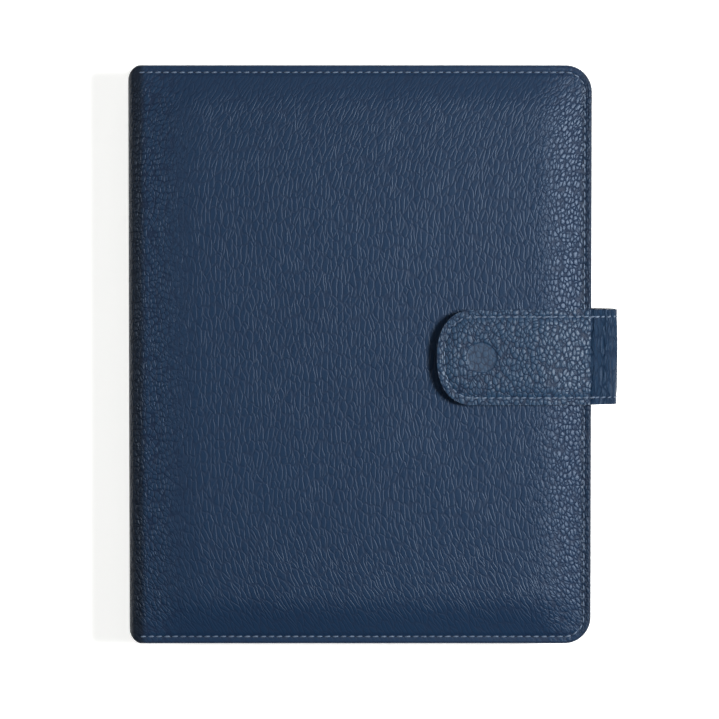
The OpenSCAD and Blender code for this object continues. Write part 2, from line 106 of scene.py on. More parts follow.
class Slot(Enum):
    """The record's material slots."""

    LEATHER = "outer_leather"
    LINING = "lining_microfibre"
    FOAM = "padding_foam"
    BOARD = "stiffener_board"
    STEEL = "bright_steel"
    MAGNET = "magnet_nickel"
    GRAPHITE = "graphite_plastic"
    RUBBER = "dark_rubber"
    BLACK = "black_plastic"
    KEYCAP = "keycap_plastic"
    TOUCHPAD = "touchpad_surface"
    FILM = "membrane_film"
    DOMES = "silicone_domes"
    CIRCUIT = "circuit_board"
    BATTERY = "battery_pouch"
    LIGHT = "light_lens"


class Side(Enum):
    """Which of the two covers a piece belongs to; the value is its direction along Z."""

    FRONT = 1
    BACK = -1


# ---------------------------------------------------------------- small helpers


def linear(code: str) -> tuple[float, float, float, float]:
    """Turns an sRGB hex colour into linear light.

    Args:
        code: Six hex digits after a hash sign.

    Returns:
        Linear red, green, blue, and an alpha of 1.
    """
    parts = [int(code[i : i + 2], 16) / 255 for i in (1, 3, 5)]
    lit = [c / 12.92 if c <= 0.04045 else ((c + 0.055) / 1.055) ** 2.4 for c in parts]
    return (lit[0], lit[1], lit[2], 1.0)


def shares(count: int) -> list[float]:
    """Evenly spaced shares from 0 to 1, in the given number of steps."""
    return [k / count for k in range(count + 1)]


def smooth_step(value: float, low: float, high: float) -> float:
    """Rises smoothly from 0 at low to 1 at high."""
    t = min(max((value - low) / (high - low), 0.0), 1.0)
    return t * t * (3 - 2 * t)


def round_corner(a: float, b: float, power: float = 2.0) -> tuple[float, float]:
    """Carries a point of the unit square onto a quarter of a round or superelliptic plate.

    Args:
        a: Share of the way to the first edge, 0 to 1.
        b: Share of the way to the second edge, 0 to 1.
        power: 2 for a circle, more for a squarer curve.

    Returns:
        The point's two shares on the rounded plate.
    """
    far = max(a, b)
    if far <= 0:
        return 0.0, 0.0
    turn = math.pi / 4 * min(a, b) / far
    major, minor = math.cos(turn) ** (2 / power), math.sin(turn) ** (2 / power)
    return (far * major, far * minor) if a >= b else (far * minor, far * major)


def grid_mesh(length: float, width: float, step: float) -> bmesh.types.BMesh:
    """Makes a flat grid from 0 to length along X and from 0 to width along Y.

    Args:
        length: Extent along X.
        width: Extent along Y.
        step: Rough size of one face.

    Returns:
        A new mesh in editing form.
    """
    made = bmesh.new()
    bmesh.ops.create_grid(
        made, x_segments=round(length / step), y_segments=round(width / step), size=0.5
    )
    bmesh.ops.translate(made, verts=made.verts, vec=(0.5, 0.5, 0))
    bmesh.ops.scale(made, verts=made.verts, vec=(length, width, 1))
    return made


def stops(length: float, step: float, fine: float, rims: tuple[float, float]) -> list[float]:
    """Spaces the lines of a grid: fine in the rims at its two ends, coarser between.

    Args:
        length: Whole length.
        step: Rough spacing in the middle.
        fine: Rough spacing in the rims.
        rims: Width of the rim at the start and at the end.

    Returns:
        The lines' distances from the start.
    """
    spaced = [0.0]
    middle = length - sum(rims)
    for run, pitch in ((rims[0], fine), (middle, step), (rims[1], fine)):
        count = max(1, round(run / pitch)) if run else 0
        spaced += [spaced[-1] + run * (k + 1) / count for k in range(count)]
    return spaced


def graded_mesh(xs: Sequence[float], ys: Sequence[float]) -> bmesh.types.BMesh:
    """Makes a flat grid with its lines at the given places along X and Y."""
    made = bmesh.new()
    nx, ny = len(xs) - 1, len(ys) - 1
    bmesh.ops.create_grid(made, x_segments=nx, y_segments=ny, size=0.5)
    for v in made.verts:
        v.co.x = xs[round((v.co.x + 0.5) * nx)]
        v.co.y = ys[round((v.co.y + 0.5) * ny)]
    return made


def finish_piece(
    name: str,
    made: bmesh.types.BMesh,
    materials: Sequence[bpy.types.Material],
    sharp_deg: float = SHARP_DEG,
) -> bpy.types.Object:
    """Turns a finished editing mesh into an object at the origin, smooth but for its sharp edges.

    Args:
        name: The piece's name.
        made: The mesh, which is freed.
        materials: Its materials in order.
        sharp_deg: Edges that turn by more than this stay crisp.

    Returns:
        The new object.
    """
    mesh = bpy.data.meshes.new(name)
    made.edges.index_update()
    rims = [e.index for e in made.edges if e.is_boundary]
    made.to_mesh(mesh)
    made.free()
    for material in materials:
        mesh.materials.append(material)
    mesh.shade_smooth()
    mesh.set_sharp_from_angle(angle=math.radians(sharp_deg))
    for i in rims:
        mesh.edges[i].use_edge_sharp = True
    piece = bpy.data.objects.new(name, mesh)
    bpy.context.scene.collection.objects.link(piece)
    LOG.info("%s: %d faces", name, len(mesh.polygons))
    return piece


def thicken(piece: bpy.types.Object, thickness: float) -> None:
    """Gives a sheet its thickness, on the side away from its face normals."""
    wall = piece.modifiers.new("thickness", "SOLIDIFY")
    wall.thickness = thickness
    wall.offset = -1


def soften(piece: bpy.types.Object, width: float, segments: int = 2) -> None:
    """Rounds a piece's sharp edges."""
    bevel = piece.modifiers.new("soft_edges", "BEVEL")
    bevel.width = width
    bevel.segments = segments
    bevel.limit_method = "ANGLE"
    bevel.angle_limit = math.radians(SHARP_DEG)


def walk(points: Sequence[Vector], pitch: float) -> list[tuple[Vector, Vector]]:
    """Steps along a line of points at an even pitch.

    Args:
        points: The line.
        pitch: Wanted distance between two steps; it is adjusted to fit a whole number.

    Returns:
        The middle of each step, and the direction there.
    """
    lengths = [(b - a).length for a, b in zip(points, points[1:])]
    count = max(1, round(sum(lengths) / pitch))
    spacing = sum(lengths) / count
    steps, i, before = [], 0, 0.0
    for k in range(count):
        at = (k + 0.5) * spacing
        while i < len(lengths) - 1 and before + lengths[i] < at:
            before += lengths[i]
            i += 1
        along = (points[i + 1] - points[i]).normalized()
        steps.append((points[i] + along * (at - before), along))
    return steps


@dataclass(frozen=True)
class Wave:
    """Soft random waves over a surface.

    Attributes:
        per_x: Waves per metre along its first coordinate.
        per_y: Waves per metre along its second coordinate.
        seed: Which random pattern.
        height: Height of the waves.
    """

    per_x: float
    per_y: float
    seed: float
    height: float = 1.0

    def at(self, x: float, y: float, side: int = 1) -> float:
        """Height at a place; each side has a pattern of its own."""
        spot = Vector((x * self.per_x, y * self.per_y, self.seed * side))
        return self.height * noise.noise(spot)


COVER_WAVES = (Wave(55, 38, 3.0), Wave(150, 95, 7.0, 0.5))
BEND_FOLDS = (Wave(420, 28, 1.5), Wave(900, 60, 4.5, 0.6))
STRAP_WAVE = Wave(60, 60, 9.0)


@dataclass(frozen=True)
class Stretch:
    """One stretch of a route: straight where radius is 0, else a turn, to the left if positive."""

    length: float
    radius: float = 0.0


@dataclass(frozen=True)
class Route:
    """A line of straight and round stretches in the plane of X and Z.

    Attributes:
        start: Where it begins.
        heading: Its first direction, in degrees from +X towards +Z.
        outer: Which side is the outer face: 1 for the left, -1 for the right.
        stretches: Its stretches in order.
    """

    start: tuple[float, float]
    heading: float
    outer: int
    stretches: tuple[Stretch, ...]

    @property
    def length(self) -> float:
        """Whole length."""
        return sum(s.length for s in self.stretches)

    def at(self, along: float) -> tuple[float, float, float, float]:
        """Finds a place on the route.

        Args:
            along: Distance from the start.

        Returns:
            X and Z of the place, and X and Z of the outward normal.
        """
        x, z = self.start
        turn = math.radians(self.heading)
        left = along
        for n, s in enumerate(self.stretches):
            last = n == len(self.stretches) - 1
            go = left if last else min(left, s.length)
            if s.radius:
                sweep = go / s.radius
                x += s.radius * (math.sin(turn + sweep) - math.sin(turn))
                z += s.radius * (math.cos(turn) - math.cos(turn + sweep))
                turn += sweep
            else:
                x += go * math.cos(turn)
                z += go * math.sin(turn)
            left -= go
            if left <= 0:
                break
        return x, z, -self.outer * math.sin(turn), self.outer * math.cos(turn)


# ---------------------------------------------------------------- finishes


def add_node(
    tree: Tree,
    kind: str,
    settings: dict[str | int, object] | None = None,
    links: dict[str | int, Socket] | None = None,
    output: str | int = 0,
) -> Socket:
    """Adds a node with its settings and links.

    Args:
        tree: The material's node tree.
        kind: The node's type.
        settings: Attributes or input values by name, or input values by number.
        links: For an input's name or number, the output that feeds it.
        output: Which of its outputs is wanted.

    Returns:
        That output of the new node.
    """
    made = tree.nodes.new(kind)
    for key, value in (settings or {}).items():
        if isinstance(key, str) and key.islower() and hasattr(made, key):
            setattr(made, key, value)
        else:
            made.inputs[key].default_value = value
    for key, source in (links or {}).items():
        tree.links.new(source, made.inputs[key])
    return made.outputs[output]


def start_material(name: str) -> tuple[bpy.types.Material, Tree, bpy.types.Node]:
    """Makes an empty material with its output and shader.

    Args:
        name: The material's name.

    Returns:
        The material, its node tree and its main shader.
    """
    material = bpy.data.materials.new(name)
    material.use_nodes = True
    tree = material.node_tree
    tree.nodes.clear()
    surface = add_node(tree, "ShaderNodeBsdfPrincipled")
    tree.links.new(surface, tree.nodes.new("ShaderNodeOutputMaterial").inputs["Surface"])
    return material, tree, surface.node


def dress(
    tree: Tree, shader: bpy.types.Node, links: dict[str, Socket], values: dict[str, object]
) -> None:
    """Gives a shader its patterns and its even values.

    Args:
        tree: The material's node tree.
        shader: The shader.
        links: For an input's name, the output that feeds it.
        values: For an input's name, its value.
    """
    for name, source in links.items():
        tree.links.new(source, shader.inputs[name])
    for name, value in values.items():
        shader.inputs[name].default_value = value


@dataclass(frozen=True)
class Net:
    """One net of raised grain cells.

    Attributes:
        cell: Spacing of the cells.
        stretch: How many times longer than wide a cell is.
        dome: Share of the height that lies in the cell's dome, the rest in its flank.
        flank: Width of the flank, in cells.
        flat: Whether the cells lie in one plane, shifted along each other.
        scatter: How unevenly they are spread, up to 1.
        reach: Square of the distance from a cell's middle where its dome ends, in cells.
        stagger: How far neighbouring cells of a flat net shift, in cells.
    """

    cell: float
    stretch: float
    dome: float
    flank: float
    flat: bool = False
    scatter: float = 0.95
    reach: float = 0.55
    stagger: float = 1.6

    def height(self, tree: Tree, place: Socket) -> Socket:
        """Adds the net.

        Args:
            tree: The material's node tree.
            place: Where on the leather.

        Returns:
            The height: 0 in a crease, 1 on a cell.
        """
        per = 1 / self.cell
        scales = {"operation": "MULTIPLY", 1: (per, per / self.stretch, per * 0.8)}
        sized = add_node(tree, "ShaderNodeVectorMath", scales, {0: place})
        if self.flat:
            sized = self.staggered(tree, sized)
        rim, body = (
            add_node(
                tree,
                "ShaderNodeTexVoronoi",
                {
                    "voronoi_dimensions": "2D" if self.flat else "3D",
                    "feature": feature,
                    "Scale": 1.0,
                    "Randomness": self.scatter,
                },
                {"Vector": sized},
                output="Distance",
            )
            for feature in ("DISTANCE_TO_EDGE", "F1")
        )
        wall = add_node(
            tree,
            "ShaderNodeMapRange",
            {"interpolation_type": "SMOOTHSTEP", "From Max": self.flank, "To Max": 1 - self.dome},
            {"Value": rim},
        )
        squared = add_node(tree, "ShaderNodeMath", {"operation": "MULTIPLY"}, {0: body, 1: body})
        crown = add_node(
            tree,
            "ShaderNodeMapRange",
            {"From Max": self.reach, "To Min": self.dome, "To Max": 0.0},
            {"Value": squared},
        )
        return add_node(tree, "ShaderNodeMath", {"operation": "ADD"}, {0: wall, 1: crown})

    def staggered(self, tree: Tree, sized: Socket) -> Socket:
        """Shifts neighbouring cells along each other, so that their ends form no rows.

        Args:
            tree: The material's node tree.
            sized: Place in cells.

        Returns:
            The shifted place.
        """
        patches = {"Scale": 0.7, "Detail": 1.0}
        offset = add_node(tree, "ShaderNodeTexNoise", patches, {"Vector": sized}, output="Fac")
        grow = {"operation": "MULTIPLY", 1: self.stagger}
        far = add_node(tree, "ShaderNodeMath", grow, {0: offset})
        along = add_node(tree, "ShaderNodeCombineXYZ", links={"Y": far})
        links = {0: sized, 1: along}
        return add_node(tree, "ShaderNodeVectorMath", {"operation": "ADD"}, links)


@dataclass(frozen=True)
class PebbledLeather:
    """Cowhide coloured through in a drum, milled to a pebbled grain: raised cells parted by fine
    creases.

    Milling draws the cells out along the cover, so the middle shows long flat wrinkles that
    lean outwards at the ends, and the margins show round domed pebbles with dark creases. The
    satin topcoat catches the light on the cells' flanks.

    Attributes:
        name: Material name.
        crease: Colour down in the creases: the leather's own deeper tone, with painted shade.
        top: Colour on the cells.
        cell: Spacing of the round cells on the margins.
        long_cell: Spacing of the long cells in the middle.
        stretch: How many times longer than wide those are.
        depth: Depth of the creases on the margins.
        flat: Share of that depth in the middle.
        middle: X of the middle of the long-grained area.
        reach: Half-width of that area.
        lean_from: Distance along Y where the wrinkles start to lean.
        lean: How sharply they lean beyond it.
        ends: Distance along Y where the grain is pulled smooth.
        stamp: X, Y and radius of a round blind stamp that presses the grain flat.
        bent: X beyond which the leather is bent hard, which dulls and creases it, and where its colour
            takes painted shade.
        painted_shade_borders: X of the spine's and of the fore edge's borders, which are darkened there
            as painted shade.
        shine: Strength of its mirrored light.
        tint: Colour of that light.
    """

    name: str
    crease: str = "#0d1d36"
    top: str = "#172e48"
    cell: float = 1.65 * MM
    long_cell: float = 2.1 * MM
    stretch: float = 2.6
    depth: float = 0.26 * MM
    flat: float = 0.35
    middle: float = -6.5 * MM
    reach: float = 72 * MM
    lean_from: float = 58 * MM
    lean: float = 4.8
    ends: float = 112 * MM
    stamp: tuple[float, float, float] | None = None
    bent: float | None = None
    painted_shade_borders: tuple[float, float] | None = None
    shine: float = 0.36
    tint: str = "#d3e3f8"

    def leaning(self, tree: Tree, where: Socket) -> tuple[Socket, Socket]:
        """Bends the grain towards the fore edge at both ends, and lets it wander.

        Args:
            tree: The material's node tree.
            where: Place on the piece.

        Returns:
            The place that the grain reads, and the distance from the middle along Y.
        """
        along = add_node(tree, "ShaderNodeSeparateXYZ", links={0: where}, output="Y")
        out = add_node(tree, "ShaderNodeMath", {"operation": "ABSOLUTE"}, {0: along})
        over = add_node(
            tree, "ShaderNodeMath", {"operation": "SUBTRACT", 1: self.lean_from}, {0: out}
        )
        beyond = add_node(tree, "ShaderNodeMath", {"operation": "MAXIMUM", 1: 0.0}, {0: over})
        squared = add_node(
            tree, "ShaderNodeMath", {"operation": "MULTIPLY"}, {0: beyond, 1: beyond}
        )
        pull = add_node(
            tree, "ShaderNodeMath", {"operation": "MULTIPLY", 1: -self.lean}, {0: squared}
        )
        sideways = add_node(tree, "ShaderNodeCombineXYZ", links={"X": pull})
        patches = {"Scale": 190.0, "Detail": 2.0}
        wander = add_node(tree, "ShaderNodeTexNoise", patches, {"Vector": where}, output="Color")
        stray = {"operation": "MULTIPLY_ADD", 1: (self.cell * 1.3,) * 3}
        shift = add_node(tree, "ShaderNodeVectorMath", stray, {0: wander, 2: sideways})
        place = add_node(tree, "ShaderNodeVectorMath", {"operation": "ADD"}, {0: where, 1: shift})
        return place, out

    def margin(self, tree: Tree, where: Socket) -> Socket:
        """Rises from 0 in the long-grained middle to 1 on the round-grained margins."""
        across = add_node(tree, "ShaderNodeSeparateXYZ", links={0: where}, output="X")
        off = add_node(
            tree, "ShaderNodeMath", {"operation": "SUBTRACT", 1: self.middle}, {0: across}
        )
        away = add_node(tree, "ShaderNodeMath", {"operation": "ABSOLUTE"}, {0: off})
        limits = {
            "interpolation_type": "SMOOTHSTEP",
            "From Min": self.reach - 4 * MM,
            "From Max": self.reach + 20 * MM,
        }
        return add_node(tree, "ShaderNodeMapRange", limits, {"Value": away})

    def unstamped(self, tree: Tree, where: Socket) -> Socket:
        """Share of the grain's height that the blind stamp leaves."""
        x, y, radius = self.stamp
        from_stamp = add_node(
            tree, "ShaderNodeVectorMath", {"operation": "SUBTRACT", 1: (x, y, 0)}, {0: where}
        )
        in_plan = add_node(
            tree, "ShaderNodeVectorMath", {"operation": "MULTIPLY", 1: (1, 1, 0)}, {0: from_stamp}
        )
        away = add_node(
            tree, "ShaderNodeVectorMath", {"operation": "LENGTH"}, {0: in_plan}, output="Value"
        )
        limits = {"From Min": radius, "From Max": radius + 0.4 * MM, "To Min": 0.12}
        return add_node(tree, "ShaderNodeMapRange", limits, {"Value": away})

    def shaded(
        self,
        tree: Tree,
        where: Socket,
        colour: Socket,
        reach: tuple[float, float],
        keep: float,
    ) -> Socket:
        """Paints shade along X by darkening the colour.

        Args:
            tree: The material's node tree.
            where: Place on the piece.
            colour: Colour without the shade.
            reach: X where the shade starts and X where it is full.
            keep: Share of the colour left in the full shade.

        Returns:
            The shaded colour.
        """
        across = add_node(tree, "ShaderNodeSeparateXYZ", links={0: where}, output="X")
        limits = {
            "interpolation_type": "SMOOTHSTEP",
            "From Min": reach[0],
            "From Max": reach[1],
            "To Min": 1.0,
            "To Max": keep,
        }
        left = add_node(tree, "ShaderNodeMapRange", limits, {"Value": across})
        grey = add_node(tree, "ShaderNodeCombineXYZ", links={0: left, 1: left, 2: left})
        links = {0: colour, 1: grey}
        return add_node(tree, "ShaderNodeVectorMath", {"operation": "MULTIPLY"}, links)

    def creased(
        self, tree: Tree, where: Socket, colour: Socket, bump: Socket
    ) -> tuple[Socket, Socket]:
        """Paints shade over the hard bend and runs creases along it.

        Args:
            tree: The material's node tree.
            where: Place on the piece.
            colour: Colour without the bend.
            bump: Normal without the creases.

        Returns:
            The colour with that painted shade, and the normal with the creases.
        """
        across = add_node(tree, "ShaderNodeSeparateXYZ", links={0: where}, output="X")
        start, deep = self.bent - 2 * MM, 1.0 * MM
        limits = {
            "interpolation_type": "SMOOTHSTEP",
            "From Min": start,
            "From Max": self.bent + 3 * MM,
        }
        share = add_node(tree, "ShaderNodeMapRange", limits, {"Value": across})
        scales = {"operation": "MULTIPLY", 1: FOLDS_PER_METRE}
        sized = add_node(tree, "ShaderNodeVectorMath", scales, {0: where})
        fold = add_node(
            tree, "ShaderNodeTexNoise", {"Scale": 1.0, "Detail": 1.5}, {"Vector": sized}, output="Fac"
        )
        height = add_node(tree, "ShaderNodeMath", {"operation": "MULTIPLY"}, {0: fold, 1: share})
        normal = add_node(
            tree,
            "ShaderNodeBump",
            {"Strength": 1.0, "Distance": deep},
            {"Height": height, "Normal": bump},
        )
        # painted shade over the bend, where it turns away from the light
        bend_painted_shade = self.shaded(tree, where, colour, (start, self.bent + 2 * MM), keep=0.7)
        return bend_painted_shade, normal

    def relief(self, tree: Tree, where: Socket, height: Socket) -> Socket:
        """Adds fine pores to the grain's height and turns both into a normal."""
        pores = add_node(
            tree, "ShaderNodeTexNoise", {"Scale": 2200.0, "Detail": 3.0}, {"Vector": where}, output="Fac"
        )
        both = add_node(
            tree, "ShaderNodeMath", {"operation": "MULTIPLY_ADD", 1: 0.2}, {0: pores, 2: height}
        )
        bump = {"Strength": 1.0, "Distance": self.depth}
        return add_node(tree, "ShaderNodeBump", bump, {"Height": both})

    def material(self) -> bpy.types.Material:
        """Makes the material."""
        material, tree, shader = start_material(self.name)
        where = add_node(tree, "ShaderNodeTexCoord", output="Object")
        place, out = self.leaning(tree, where)
        margin = self.margin(tree, where)
        long_net = Net(self.long_cell, self.stretch, dome=0.2, flank=0.22, flat=True)
        round_net = Net(self.cell, stretch=1.5, dome=0.6, flank=0.16)
        long_cells = long_net.height(tree, place)
        round_cells = round_net.height(tree, place)
        grain = add_node(tree, "ShaderNodeMix", links={0: margin, 2: long_cells, 3: round_cells})
        smoothed = {
            "interpolation_type": "SMOOTHSTEP",
            "From Min": self.ends,
            "From Max": self.ends + 14 * MM,
            "To Min": 1.0,
            "To Max": 0.35,
        }
        pulled = add_node(tree, "ShaderNodeMapRange", smoothed, {"Value": out})
        deep = add_node(
            tree, "ShaderNodeMapRange", {"To Min": self.flat, "To Max": 1.0}, {"Value": margin}
        )
        amounts = [deep, pulled]
        if self.stamp:
            amounts.append(self.unstamped(tree, where))
        height = grain
        for amount in amounts:
            height = add_node(
                tree, "ShaderNodeMath", {"operation": "MULTIPLY"}, {0: height, 1: amount}
            )
        bump = self.relief(tree, where, height)
        # the colour follows the grain, with painted shade down in the creases, and the dye took unevenly
        dye = add_node(
            tree, "ShaderNodeTexNoise", {"Scale": 30.0, "Detail": 4.0}, {"Vector": where}, output="Fac"
        )
        long_tone = add_node(
            tree, "ShaderNodeMapRange", {"To Min": 0.3, "To Max": 0.72}, {"Value": long_cells}
        )
        grain_tone = add_node(
            tree, "ShaderNodeMix", links={0: margin, 2: long_tone, 3: round_cells}
        )
        tone = add_node(
            tree, "ShaderNodeMath", {"operation": "MULTIPLY_ADD", 1: 0.30}, {0: dye, 2: grain_tone}
        )
        share = add_node(
            tree, "ShaderNodeMapRange", {"From Min": 0.1, "From Max": 1.0}, {"Value": tone}
        )
        colours = {"data_type": "RGBA", 6: linear(self.crease), 7: linear(self.top)}
        colour = add_node(tree, "ShaderNodeMix", colours, {0: share}, output=2)
        gloss = add_node(
            tree, "ShaderNodeMapRange", {"To Min": 0.55, "To Max": 0.38}, {"Value": grain}
        )
        # painted shade: the borders by the spine and by the fore edge, which turn away from the light,
        # are darkened
        if self.painted_shade_borders:
            spine, fore = self.painted_shade_borders
            by_spine = (spine + 3.2 * MM, spine - 0.6 * MM)
            by_fore = (fore - 1.6 * MM, fore + 0.2 * MM)
            colour = self.shaded(tree, where, colour, by_spine, keep=0.25)
            colour = self.shaded(tree, where, colour, by_fore, keep=0.68)
        if self.bent is not None:
            colour, bump = self.creased(tree, where, colour, bump)
        even_values = {
            "IOR": 1.5,
            "Specular IOR Level": self.shine,
            "Specular Tint": linear(self.tint),
        }
        patterns = {"Base Color": colour, "Roughness": gloss, "Normal": bump}
        dress(tree, shader, patterns, even_values)
        return material


@dataclass(frozen=True)
class Grained:
    """A finish with one fine random grain, which its colour, gloss and relief all follow.

    Attributes:
        name: Material name.
        low: Colour in the grain's hollows.
        high: Colour on its peaks.
        grain: Size of a grain along X, Y and Z.
        relief: Depth of the grain.
        rough: Roughness on the peaks and in the hollows.
        metallic: 1 for bare metal.
        sheen: Weight of the soft pile on cloth.
        coat: Weight of a clear topcoat.
        clear: Share of light that passes through.
        glow: Strength of its own light.
        ior: Index of refraction.
    """

    name: str
    low: str
    high: str
    grain: tuple[float, float, float]
    relief: float
    rough: tuple[float, float]
    metallic: float = 0.0
    sheen: float = 0.0
    coat: float = 0.0
    clear: float = 0.0
    glow: float = 0.0
    ior: float = 1.5

    def material(self) -> bpy.types.Material:
        """Makes the material."""
        material, tree, shader = start_material(self.name)
        where = add_node(tree, "ShaderNodeTexCoord", output="Object")
        sizes = {"operation": "DIVIDE", 1: self.grain}
        sized = add_node(tree, "ShaderNodeVectorMath", sizes, {0: where})
        grain = add_node(
            tree, "ShaderNodeTexNoise", {"Scale": 1.0, "Detail": 4.0}, {"Vector": sized}, output="Fac"
        )
        broad = add_node(
            tree, "ShaderNodeTexNoise", {"Scale": 35.0, "Detail": 3.0}, {"Vector": where}, output="Fac"
        )
        both = add_node(
            tree, "ShaderNodeMath", {"operation": "MULTIPLY_ADD", 1: 0.5}, {0: broad, 2: grain}
        )
        tone = add_node(
            tree, "ShaderNodeMapRange", {"From Min": 0.45, "From Max": 1.05}, {"Value": both}
        )
        colours = {"data_type": "RGBA", 6: linear(self.low), 7: linear(self.high)}
        colour = add_node(tree, "ShaderNodeMix", colours, {0: tone}, output=2)
        on_peaks, in_hollows = self.rough
        gloss = add_node(
            tree, "ShaderNodeMapRange", {"To Min": in_hollows, "To Max": on_peaks}, {"Value": tone}
        )
        bump = add_node(
            tree, "ShaderNodeBump", {"Distance": self.relief, "Strength": 1.0}, {"Height": grain}
        )
        even_values = {
            "Metallic": self.metallic,
            "Sheen Weight": self.sheen,
            "Sheen Roughness": 0.4,
            "Coat Weight": self.coat,
            "Transmission Weight": self.clear,
            "IOR": self.ior,
        }
        if self.glow:
            glow = {"Emission Color": linear(self.high), "Emission Strength": self.glow}
            even_values.update(glow)
        patterns = {"Base Color": colour, "Roughness": gloss, "Normal": bump}
        dress(tree, shader, patterns, even_values)
        return material


def even(size: float) -> tuple[float, float, float]:
    """The same grain size along each axis, given in millimetres."""
    return (size * MM, size * MM, size * MM)


class Palette:
    """Every material of the case, made once."""

    def __init__(self) -> None:
        """Makes the materials."""
        # painted shade darkens the cover's borders by the spine and by the fore edge
        self.leather = PebbledLeather(
            "pebbled_leather_satin_topcoat",
            painted_shade_borders=(
                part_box("spine_leather")[0].x + 5.6 * MM,
                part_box("front_leather")[1].x - 4.2 * MM,
            ),
        ).material()
        low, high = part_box("strap_magnet")
        middle = (low + high) / 2
        self.strap_leather = PebbledLeather(
            "pebbled_leather_strap_cut",
            top="#253d56",
            cell=1.75 * MM,
            depth=0.32 * MM,
            reach=-0.02,
            lean=0.0,
            tint="#e4eef9",
            stamp=(middle.x, middle.y, STAMP_RADIUS),
        ).material()
        # creased where it bends hard, with painted shade in its colour over the bend, and the creases'
        # matt bottoms mirror little
        self.bent_leather = PebbledLeather(
            "pebbled_leather_creased_bend",
            top="#233c57",
            long_cell=1.7 * MM,
            stretch=4.0,
            depth=0.3 * MM,
            flat=0.8,
            reach=1.0,
            lean=0.0,
            bent=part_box("front_leather")[1].x - 3 * MM,
            shine=0.1,
        ).material()
        # bonded twisted polyester, waxed: a dull shine and fine slanting strands
        self.thread = Grained(
            "polyester_thread_twisted", "#33465f", "#74879f", even(0.4), 0.06 * MM, (0.5, 0.7),
            sheen=0.2,
        ).material()
        # needle holes: near-black, painted shade down in the holes
        self.needle_hole = Grained(
            "leather_needle_holes", "#060b14", "#0a1220", even(0.3), 0.02 * MM, (0.8, 0.9)
        ).material()
        self.slots = {
            Slot.LEATHER: self.leather,
            # warp-knitted microfibre, brushed on its face: soft short pile with a faint bloom
            Slot.LINING: Grained(
                "microfibre_brushed", "#1d2939", "#2b3a4e", even(0.7), 0.10 * MM, (0.85, 0.95),
                sheen=0.35,
            ).material(),
            # open-cell polyurethane foam, cut from a slab
            Slot.FOAM: Grained(
                "polyurethane_foam_cut", "#a9a79c", "#d8d6cb", even(1.1), 0.5 * MM, (0.9, 1.0)
            ).material(),
            # pressed greyboard with visible fibres
            Slot.BOARD: Grained(
                "greyboard_pressed", "#6b5f51", "#8f8170", (1.5 * MM, 5 * MM, 1.5 * MM),
                0.08 * MM, (0.85, 0.95),
            ).material(),
            # zinc-plated steel with drawing lines along Y
            Slot.STEEL: Grained(
                "steel_zinc_plated", "#8d9094", "#c3c6ca", (0.2 * MM, 6 * MM, 0.2 * MM),
                0.01 * MM, (0.24, 0.4), metallic=1.0,
            ).material(),
            # sintered magnet with a bright nickel plating
            Slot.MAGNET: Grained(
                "magnet_nickel_plated", "#a8a69f", "#d0cec6", even(0.8), 0.005 * MM,
                (0.14, 0.28), metallic=1.0,
            ).material(),
            # glass-filled nylon off a spark-eroded mould: fine dull grain
            Slot.GRAPHITE: Grained(
                "nylon_spark_eroded_graphite", "#1c1e22", "#2b2e33", even(0.45), 0.03 * MM,
                (0.48, 0.62),
            ).material(),
            # moulded thermoplastic rubber, dull, with a trace of mould bloom
            Slot.RUBBER: Grained(
                "elastomer_moulded", "#0f1011", "#1b1c1e", even(0.9), 0.03 * MM, (0.7, 0.85)
            ).material(),
            Slot.BLACK: Grained(
                "abs_moulded_black", "#0c0c0d", "#161719", even(0.4), 0.015 * MM, (0.35, 0.5)
            ).material(),
            # keycap ABS with a soft-touch lacquer that keeps a low, even gloss
            Slot.KEYCAP: Grained(
                "abs_keycap_soft_lacquer", "#131518", "#1e2125", even(0.35), 0.012 * MM,
                (0.42, 0.55), coat=0.08,
            ).material(),
            # acid-etched glass over a dark ink layer
            Slot.TOUCHPAD: Grained(
                "glass_etched_dark", "#202328", "#2a2e34", even(0.3), 0.004 * MM, (0.25, 0.34),
                coat=0.2,
            ).material(),
            Slot.FILM: Grained(
                "polyester_film_printed", "#a79f80", "#c7c0a2", (4 * MM, 0.8 * MM, 1 * MM),
                0.01 * MM, (0.3, 0.45), clear=0.15,
            ).material(),
            Slot.DOMES: Grained(
                "silicone_milky", "#bdbdb8", "#dcdcd6", even(1.2), 0.02 * MM, (0.5, 0.62),
                clear=0.2, ior=1.41,
            ).material(),
            Slot.CIRCUIT: Grained(
                "solder_mask_green", "#0a3a20", "#12512f", (2.5 * MM, 0.6 * MM, 1 * MM),
                0.03 * MM, (0.3, 0.4), coat=0.3,
            ).material(),
            Slot.BATTERY: Grained(
                "foil_pouch_pressed", "#8e9195", "#b3b6ba", even(2.5), 0.06 * MM, (0.3, 0.45),
                metallic=0.9,
            ).material(),
            Slot.LIGHT: Grained(
                "lens_moulded_clear", "#8fd9a8", "#c9f5d6", even(0.5), 0.005 * MM, (0.1, 0.2),
                clear=0.3, glow=0.6,
            ).material(),
        }
        # pad-printed legends: thin matt ink
        self.legend = Grained(
            "ink_pad_printed", "#b9bcc2", "#d4d7dc", even(0.3), 0.004 * MM, (0.5, 0.6)
        ).material()


# ---------------------------------------------------------------- stitching


